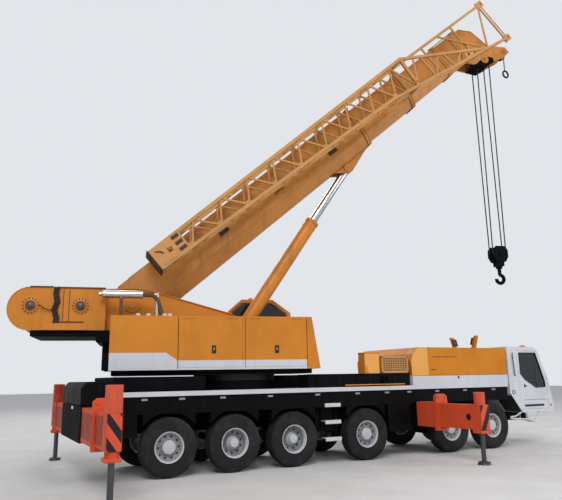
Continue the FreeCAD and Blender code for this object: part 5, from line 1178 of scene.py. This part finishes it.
def housing():
    """Seams, vents and louvres on the two housings, and the latches and straps of their flaps."""
    trim = upper_piece("housing_trim")
    for x in (-1.618, 0.078, 1.705):
        trim.box((x, x + 0.011), (-SKIN, -SKIN - 0.003), (2.47, 3.77), 0.0005)
    for k in range(8):
        trim.box((-2.9 + 0.12 * k, -2.84 + 0.12 * k), (-1.25, -0.82), (3.779, 3.786), 0.002)
    for k in range(6):
        trim.box((-3.252, -3.262), (-1.25, -0.85), (2.95 + 0.1 * k, 3.0 + 0.1 * k), 0.002)
    trim.done("trim")
    for name, centre, start in (("rear", -0.72, -1.60), ("front", 0.90, 0.09)):
        body = f"flap_{name}"
        latch = upper_piece(f"latch_{name}", body)
        latch.box((centre - 0.055, centre + 0.055), (-1.374, -1.383), (2.845, 3.045), 0.006)
        latch.done("trim")
        pull = upper_piece(f"latch_pull_{name}", body)
        pull.box((centre - 0.018, centre + 0.018), (-1.382, -1.390), (2.92, 2.99))
        pull.done("orange")
        strap = upper_piece(f"flap_straps_{name}", body)
        for dx in (0.25, 1.36):
            strap.box((start + dx - 0.03, start + dx + 0.03), (-1.3745, -1.381), (3.60, 3.712), 0.002)
        strap.done("orange")
    pale = upper_piece("housing_vents")
    for x in (-2.60, -2.35, -1.95, -1.82):
        pale.lathe([(3.78, 0.06), (3.83, 0.058), (3.85, 0.045), (3.855, 0.0)], "Z", (x, -1.18, 0), 18)
    pale.done("white")
    left = upper_piece("left_housing_trim")
    for x in (-2.3, -1.25):
        left.box((x, x + 0.01), (1.3745, 1.379), (2.50, 3.74), 0.001)
    for k in range(7):
        left.box((-2.15, -1.40), (1.3745, 1.386), (2.80 + 0.09 * k, 2.84 + 0.09 * k))
    left.done("trim")


def crane_cabin():
    """Dark windows, wiper, seat, controls and roof lamp of the operator's cabin."""
    glass = upper_piece("cabin_glass")
    side = ((0.05, 3.33), (1.67, 3.03), (1.66, 4.08), (1.20, 4.37), (0.33, 4.37), (0.05, 4.12))
    for low, high in ((1.352, 1.358), (0.655, 0.661)):
        glass.prism("XZ", side, low, high, 0)
    glass.prism("XZ", ((1.828, 2.99), (1.836, 2.99), (1.786, 4.07), (1.778, 4.07)), 0.70, 1.315, 0)
    glass.prism("XZ", ((1.74, 4.12), (1.75, 4.13), (1.29, 4.44), (1.28, 4.43)), 0.70, 1.315, 0)
    glass.done("glass")
    trim = upper_piece("cabin_trim")
    for y in (1.374, 0.642):
        trim.loop([(x, y, z) for x, z in side], 0.014, 8)
    trim.box((1.30, 1.33), (1.366, 1.376), (3.10, 4.30), 0.002)
    trim.tube([(1.87, 0.74, 2.98), (1.86, 1.30, 2.98)], 0.015)
    trim.tube([(1.80, 0.74, 4.10), (1.80, 1.30, 4.10)], 0.015)
    trim.tube([(1.87, 0.95, 3.02), (1.84, 1.12, 3.62)], 0.009)
    trim.done("trim")
    seat = upper_piece("cabin_seat")
    for x, y, z, bevel in (
        ((0.45, 0.95), (0.80, 1.25), (2.90, 3.04), 0.05),
        ((0.38, 0.50), (0.80, 1.25), (3.00, 3.72), 0.05),
        ((0.60, 0.85), (0.90, 1.15), (2.49, 2.92), 0.03),
        ((0.70, 1.10), (0.74, 0.80), (3.02, 3.16), 0.02),
        ((0.70, 1.10), (1.25, 1.31), (3.02, 3.16), 0.02),
    ):
        seat.box(x, y, z, bevel)
    seat.done("cloth")
    lamp = upper_piece("cabin_lamp")
    lamp.lathe([(4.48, 0.07), (4.57, 0.068), (4.60, 0.05), (4.61, 0.0)], "Z", (0.7, 1.2, 0), 20)
    lamp.done("amber")


def muffler():
    """Clamp bands, end cap and the elbow of the exhaust."""
    bands_on_it = upper_piece("muffler_bands")
    for x in (-3.40, -3.10, -2.75, -2.55):
        band = [(x, 0.100), (x, 0.104), (x + 0.03, 0.104), (x + 0.03, 0.100)]
        bands_on_it.lathe(band, "X", MUFFLER, 40)
    cap = [(-3.56, 0.0), (-3.56, 0.05), (-3.50, 0.052), (-3.47, 0.085), (-3.46, 0.10)]
    bands_on_it.lathe(cap, "X", MUFFLER, 32)
    bands_on_it.done("bright")
    dark = upper_piece("exhaust_elbow")
    elbow = ((-2.52, 4.33), (-2.28, 4.33), (-2.18, 4.28), (-2.12, 4.16), (-2.02, 3.86), (-2.00, 3.77))
    dark.tube([(x, MUFFLER[1], z) for x, z in elbow], 0.060, 18)
    dark.box((-3.06, -2.98), (-1.19, -1.05), (3.785, 4.24), 0.01)
    dark.done("rust")


# boom

HEAD_SHEAVES = (14.06, -0.85)
NOSE_SHEAVE = (14.92, -1.08)
LIFT_EYE = (7.541, -0.774)
LIFT_FOOT = Vector((-0.28, 0, 2.80))


def at_rest(u, v):
    """A point of the boom's side view, in the superstructure's frame."""
    return PIN + Vector((u * cos(LUFF) - v * sin(LUFF), 0, u * sin(LUFF) + v * cos(LUFF)))


def section_rims(piece, smaller, *stations):
    """Weld beads round a boom section at some stations."""
    d, w = 0.615 + 0.026 - smaller, 0.43 + 0.026 - smaller
    for u in stations:
        rim_line = [(u, -w, d), (u, -w, -d * 0.5), (u, -w * 0.62, -d)]
        rim_line += [(u, w * 0.62, -d), (u, w, -d * 0.5), (u, w, d)]
        piece.loop(rim_line, 0.012)


def boom():
    """Weld seams, collars, slide pads and the lift cylinder's bracket."""
    seams = boom_piece("boom_seams")
    for w, v, radius in (
        (-0.43, -0.3075, 0.009), (0.43, -0.3075, 0.009), (-0.43, 0.615, 0.012), (0.43, 0.615, 0.012),
        (-0.2666, -0.615, 0.012), (0.2666, -0.615, 0.012),
    ):
        seams.tube([(0.35, w, v), (8.55, w, v)], radius, 6)
    section_rims(seams, 0, 8.56, 8.66)
    for u in (0.5, 2.4, 4.3, 6.2, 7.9):
        seams.box((u, u + 0.09), (-0.44, -0.428), (-0.29, -0.20))
    bracket = ((7.00, -0.600), (7.38, -0.852), (7.46, -0.925), (7.62, -0.925), (8.60, -0.600))
    for _ in both_sides(seams):
        seams.prism("XZ", bracket, 0.180, 0.190, 0.003)
        cap = [(0.185, 0.145), (0.225, 0.14), (0.23, 0.07), (0.235, 0.0)]
        seams.lathe(cap, "Y", (LIFT_EYE[0], 0, LIFT_EYE[1]), 32)
    seams.done("boom")

    middle = boom_piece("middle_collar", "boom_middle")
    section_rims(middle, 0.047, 10.70, 10.79)
    for w in (-0.30, 0.30):
        middle.box((10.70, 10.86), (w - 0.07, w + 0.07), (0.588, 0.625), 0.008)
    middle.done("boom")
    pads = boom_piece("boom_pads")
    for w in (-0.30, 0.30):
        pads.box((8.60, 8.76), (w - 0.08, w + 0.08), (0.636, 0.672), 0.008)
    pads.done("black")


def boom_head():
    """Pin caps, edge tubes and cross bars of the head, its sheaves with their guards in black that are also
    painted shade on the lower cheeks, a black plate of painted shade under the head, and the rope.
    """
    head = boom_piece("head_fittings", "boom_head")
    section_rims(head, 0.094, 12.60, 12.69)
    y = 0.29
    for _ in both_sides(head):
        for u, v, r in ((*HEAD_SHEAVES, 0.115), (*NOSE_SHEAVE, 0.085), (13.92, 0.381, 0.085)):
            cap = [(y, r + 0.03), (y + 0.014, r + 0.025), (y + 0.016, r * 0.6), (y + 0.03, r * 0.5)]
            head.lathe(cap + [(y + 0.03, 0.0)], "Y", (u, 0, v), 28)
        for edge in (
            ((13.36, 0.49), (14.0, 0.49), (14.35, 0.185), (14.5, -0.53)),
            ((13.36, -0.49), (13.86, -1.05), (14.30, -1.11)),
        ):
            head.tube([(u, 0.292, v) for u, v in edge], 0.014, 8)
    for u, v in ((13.75, -0.62), (14.35, -0.52), (14.55, -0.95)):
        head.tube([(u, -0.30, v), (u, 0.30, v)], 0.022, 12)
    head.done("boom")

    sheaves = boom_piece("head_sheaves", "boom_head")
    places = [(y, HEAD_SHEAVES, 0.2185) for y in (-0.162, -0.054, 0.054, 0.162)]
    for y, (u, v), r in (*places, (0.0, NOSE_SHEAVE, 0.1505), (0.0, (13.92, 0.3813), 0.2185)):
        groove = [
            (y - 0.037, 0.0), (y - 0.037, r * 0.8), (y - 0.037, r + 0.022), (y - 0.018, r + 0.022),
            (y - 0.010, r), (y + 0.010, r), (y + 0.018, r + 0.022), (y + 0.037, r + 0.022),
            (y + 0.037, r * 0.8), (y + 0.037, 0.0),
        ]
        sheaves.lathe(groove, "Y", (u, 0, v), 40)
    # Black plates on the lower cheeks: sheave guards, and painted shade on the lowest part of the cheeks.
    shaded_guard = (
        (13.66, -0.80), (13.86, -1.04), (14.30, -1.10), (14.36, -0.98), (14.25, -0.86), (14.06, -0.80),
        (13.85, -0.78),
    )
    for _ in both_sides(sheaves):
        sheaves.prism("XZ", shaded_guard, 0.290, 0.298, 0.002)
        sheaves.tube([(13.60, 0.292, -0.759), (13.86, 0.292, -1.05), (14.30, 0.292, -1.11)], 0.017, 8)
    # Painted shade: a black plate across the head's underside.
    underside_shade = ((13.60, -0.7588), (13.86, -1.05), (13.8555, -1.054), (13.5955, -0.7628))
    sheaves.prism("XZ", underside_shade, -0.28, 0.28, 0.001)
    sheaves.done("black")

    runs = boom_piece("hoist_rope_on_boom", "boom_head")
    runs.tube([(13.90, 0.0, 0.612), (13.0, 0.0, 0.60), (12.75, 0.0, 0.60)], 0.012, 8)
    over = [(13.93, 0.0, 0.612), (14.05, 0, 0.58), (14.13, 0, 0.46), (14.20, -0.05, -0.30)]
    runs.tube(over + [(14.27, -0.054, -0.75)], 0.012, 8)
    runs.done("rope")


def nose_ring():
    """Short chain from the nose sheave to a steel ring."""
    top = BOOM @ Vector((14.98, 0.0, -1.22))
    chain = Piece("nose_chain", "boom_head", Matrix())
    for k in range(8):
        z = top.z - 0.035 - 0.062 * k
        points = []
        for n in range(13):
            a = 2 * pi * n / 12
            across = 0.018 * cos(a)
            dx, dy = (across, 0) if k % 2 else (0, across)
            points.append((top.x + dx, top.y + dy, z + 0.040 * sin(a)))
        chain.tube(points, 0.007, 6, False)
    ring = ring_of(24, 0.12, (top.x, top.y - 0.02, top.z - 0.62))
    chain.tube(ring + ring[:1], 0.028, 10, False)
    chain.done("black")


def jib():
    """The folded jib: its tail plate with a square hole, gussets at the joints, web and end tie."""
    outer, inner = -1.38, -0.70

    def low(u):
        return 0.17 - 0.27 * (u - 1.1) / 8.4

    def high(u):
        return 0.68 + 0.05 * (u - 1.1) / 9.5

    def below(u):
        return (u, low(u) - 0.045)

    def above(u):
        return (u, high(u) + 0.045)

    plates = boom_piece("jib_tail_plate")
    w = -1.427
    u0, u1, u2, u3 = 1.06, 1.46, 1.60, 1.98
    v1, v2 = 0.355, 0.495
    for outline in (
        (below(u0), below(u1), above(u1), above(u0)),
        (below(u2), below(u3), above(u3), above(u2)),
        (below(u1), below(u2), (u2, v1), (u1, v1)),
        ((u1, v2), (u2, v2), above(u2), above(u1)),
    ):
        plates.prism("XZ", outline, w, w + 0.012, 0.002)
    plates.box((u0 + 0.10, u0 + 0.5), (w - 0.02, w), (0.18, 0.22))
    plates.done("jib")
    # Painted shade: a dark brown plate across the tail's end stands for its shaded openings.
    end = boom_piece("jib_tail_end")
    end.box((1.02, 1.06), (-1.43, -0.66), (0.10, 0.75), 0.008)
    for v in (0.14, 0.55):
        end.box((0.98, 1.04), (-1.36, -1.16), (v, v + 0.16), 0.01)
    end.done("clamp")

    gussets = boom_piece("jib_gussets")
    bay = 0.95
    for k in range(11):
        u = 1.1 + bay * k
        joints = ((u, low(u), 1),) if k else ()
        if k < 10:
            joints += ((u + 0.4275, high(u + 0.4275), -1),)
        for x, v, lean in joints[: 2 if u < 9.4 else 1]:
            plate = (
                (x - 0.10, v + lean * 0.040), (x + 0.10, v + lean * 0.040), (x + 0.05, v + lean * 0.12),
                (x - 0.05, v + lean * 0.12),
            )
            for across in (outer, inner):
                gussets.prism("XZ", plate, across - 0.006, across + 0.006, 0.002)
    for k in range(9):
        u = 1.1 + bay * k + bay / 2
        for v in (high(u), low(u)):
            gussets.tube([(u, outer + 0.03, v), (u, inner - 0.03, v)], 0.014, 8)
    turn_low = Vector((9.5, outer, -0.10))
    turn_high = Vector((10.6, outer, 0.73))
    lug_low, lug_high = Vector((14.95, -0.76, -0.79)), Vector((14.95, -0.76, 0.66))
    knee = turn_low + (lug_low - turn_low) * (4.4 / 5.45)

    def lower(u):
        return turn_low + (lug_low - turn_low) * ((u - 9.5) / 5.45)

    def strut(u):
        return turn_high + (knee - turn_high) * ((u - 10.6) / 3.3)

    gussets.slab((lower(12.85), lower(13.75), strut(13.75), strut(13.25), strut(12.95)), 0.016)
    gussets.tube((lug_low + Vector((-0.03, 0, 0.1)), lug_high + Vector((-0.03, 0, -0.1))), 0.018)
    for pin in (lug_low, lug_high):
        for sign in (-1, 1):
            washer = ((0.028, 0.075), (0.036, 0.073), (0.036, 0.042), (0.028, 0.041))
            gussets.lathe([(sign * along, radius) for along, radius in washer], "Y", pin, 28)
    gussets.done("jib")

    dark = boom_piece("jib_clamps")
    across_web = (lower(13.75) - lower(12.85)).cross(strut(12.95) - lower(12.85)).normalized()
    for u, share, radius in ((13.05, 0.50, 0.050), (13.30, 0.45, 0.036)):
        middle = lower(u).lerp(strut(u), share)
        dark.tube([middle - across_web * 0.0095, middle + across_web * 0.0095], radius, 20)
    for u in (3.19, 7.37):
        v = low(u)
        dark.box((u - 0.09, u + 0.09), (-0.68, -0.435), (v - 0.04, v + 0.04), 0.006)
        dark.box((u - 0.16, u + 0.16), (-0.455, -0.431), (v - 0.14, v + 0.14), 0.006)
        spots = [(u + dx, -0.456, v + dv) for dx in (-0.12, 0.12) for dv in (-0.10, 0.10)]
        dark.bolts(spots, (0, -1, 0), 0.016, 0.014)
    dark.tube([(5.05, -0.445, -0.06), (5.20, -0.46, -0.02), (5.42, -0.445, -0.05)], 0.016, 8)
    # Painted shade: dark bars on the tail plate stand for its slots.
    for v in (0.22, 0.40, 0.58):
        dark.box((1.72, 1.93), (w - 0.018, w - 0.001), (v - 0.01, v + 0.08), 0.006)
    dark.tube([(1.18, w - 0.01, 0.60), (1.28, w - 0.02, 0.54), (1.34, w - 0.01, 0.44)], 0.014, 8)
    dark.done("clamp")


def cylinder():
    """Gland, its bolts and the port block of the lift cylinder."""
    reach = at_rest(*LIFT_EYE) - LIFT_FOOT
    turn = Matrix.Rotation(-atan2(reach.z, reach.x), 4, "Y")
    gland = Piece("cylinder_gland", "barrel", UPPER @ Matrix.Translation(LIFT_FOOT) @ turn)
    collar_line = [
        (4.50, 0.190), (4.51, 0.197), (4.56, 0.197), (4.57, 0.190), (4.66, 0.190), (4.67, 0.205),
        (4.745, 0.205), (4.757, 0.195), (4.757, 0.122),
    ]
    gland.lathe(collar_line, "X")
    gland.bolts(ring_of(16, 0.165, (4.757, 0, 0), axis="X"), (1, 0, 0), 0.014, 0.014)
    gland.box((0.40, 0.66), (-0.08, 0.08), (0.17, 0.26), 0.015)
    gland.done("orange")


def hoist():
    """Rope falls from the head sheaves down to the hook block, and the block's dressing."""
    sheave = at_rest(*HEAD_SHEAVES)
    block_z = 5.96
    falls = upper_piece("rope_falls", "falls")
    for dx in (-0.2303, 0.2303):
        for _ in both_sides(falls):
            falls.tube([(sheave.x + dx, 0.09, block_z), (sheave.x + dx, 0.162, sheave.z)], 0.019)
    thing = falls.done("rope", "hoist_falls")
    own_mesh(thing)

    block = Piece("block_plates", "hook", UPPER @ Matrix.Translation((sheave.x, 0, 0)))
    plate = (
        (-0.15, 6.15), (0.15, 6.15), (0.22, 6.05), (0.22, 5.87), (0.13, 5.72), (-0.13, 5.72), (-0.22, 5.87),
        (-0.22, 6.05),
    )
    y = 0.16
    for _ in both_sides(block):
        block.prism("XZ", plate, y, y + 0.012)
        block.lathe([(y + 0.01, 0.09), (y + 0.03, 0.085), (y + 0.035, 0.0)], "Y", (0, 0, block_z), 28)
        block.bolts(ring_of(6, 0.062, (0, y + 0.032, block_z)), (0, 1, 0), 0.010, 0.010)
    for y in (-0.09, 0.09):
        groove = [(y - 0.026, 0.20), (y - 0.026, 0.238), (y - 0.018, 0.240), (y - 0.010, 0.2185)]
        groove += [(y + 0.010, 0.2185), (y + 0.018, 0.240), (y + 0.026, 0.238), (y + 0.026, 0.20)]
        block.lathe(groove, "Y", (0, 0, block_z), 40)
    block.box((-0.09, 0.09), (-0.09, 0.09), (5.58, 5.66), 0.02)
    block.lathe([(5.50, 0.075), (5.50, 0.10), (5.575, 0.10), (5.58, 0.06)], "Z", (0, 0, 0), 24)
    block.done("black")


outriggers()
turntable()
housing()
crane_cabin()
muffler()
boom()
boom_head()
nose_ring()
jib()
cylinder()
hoist()
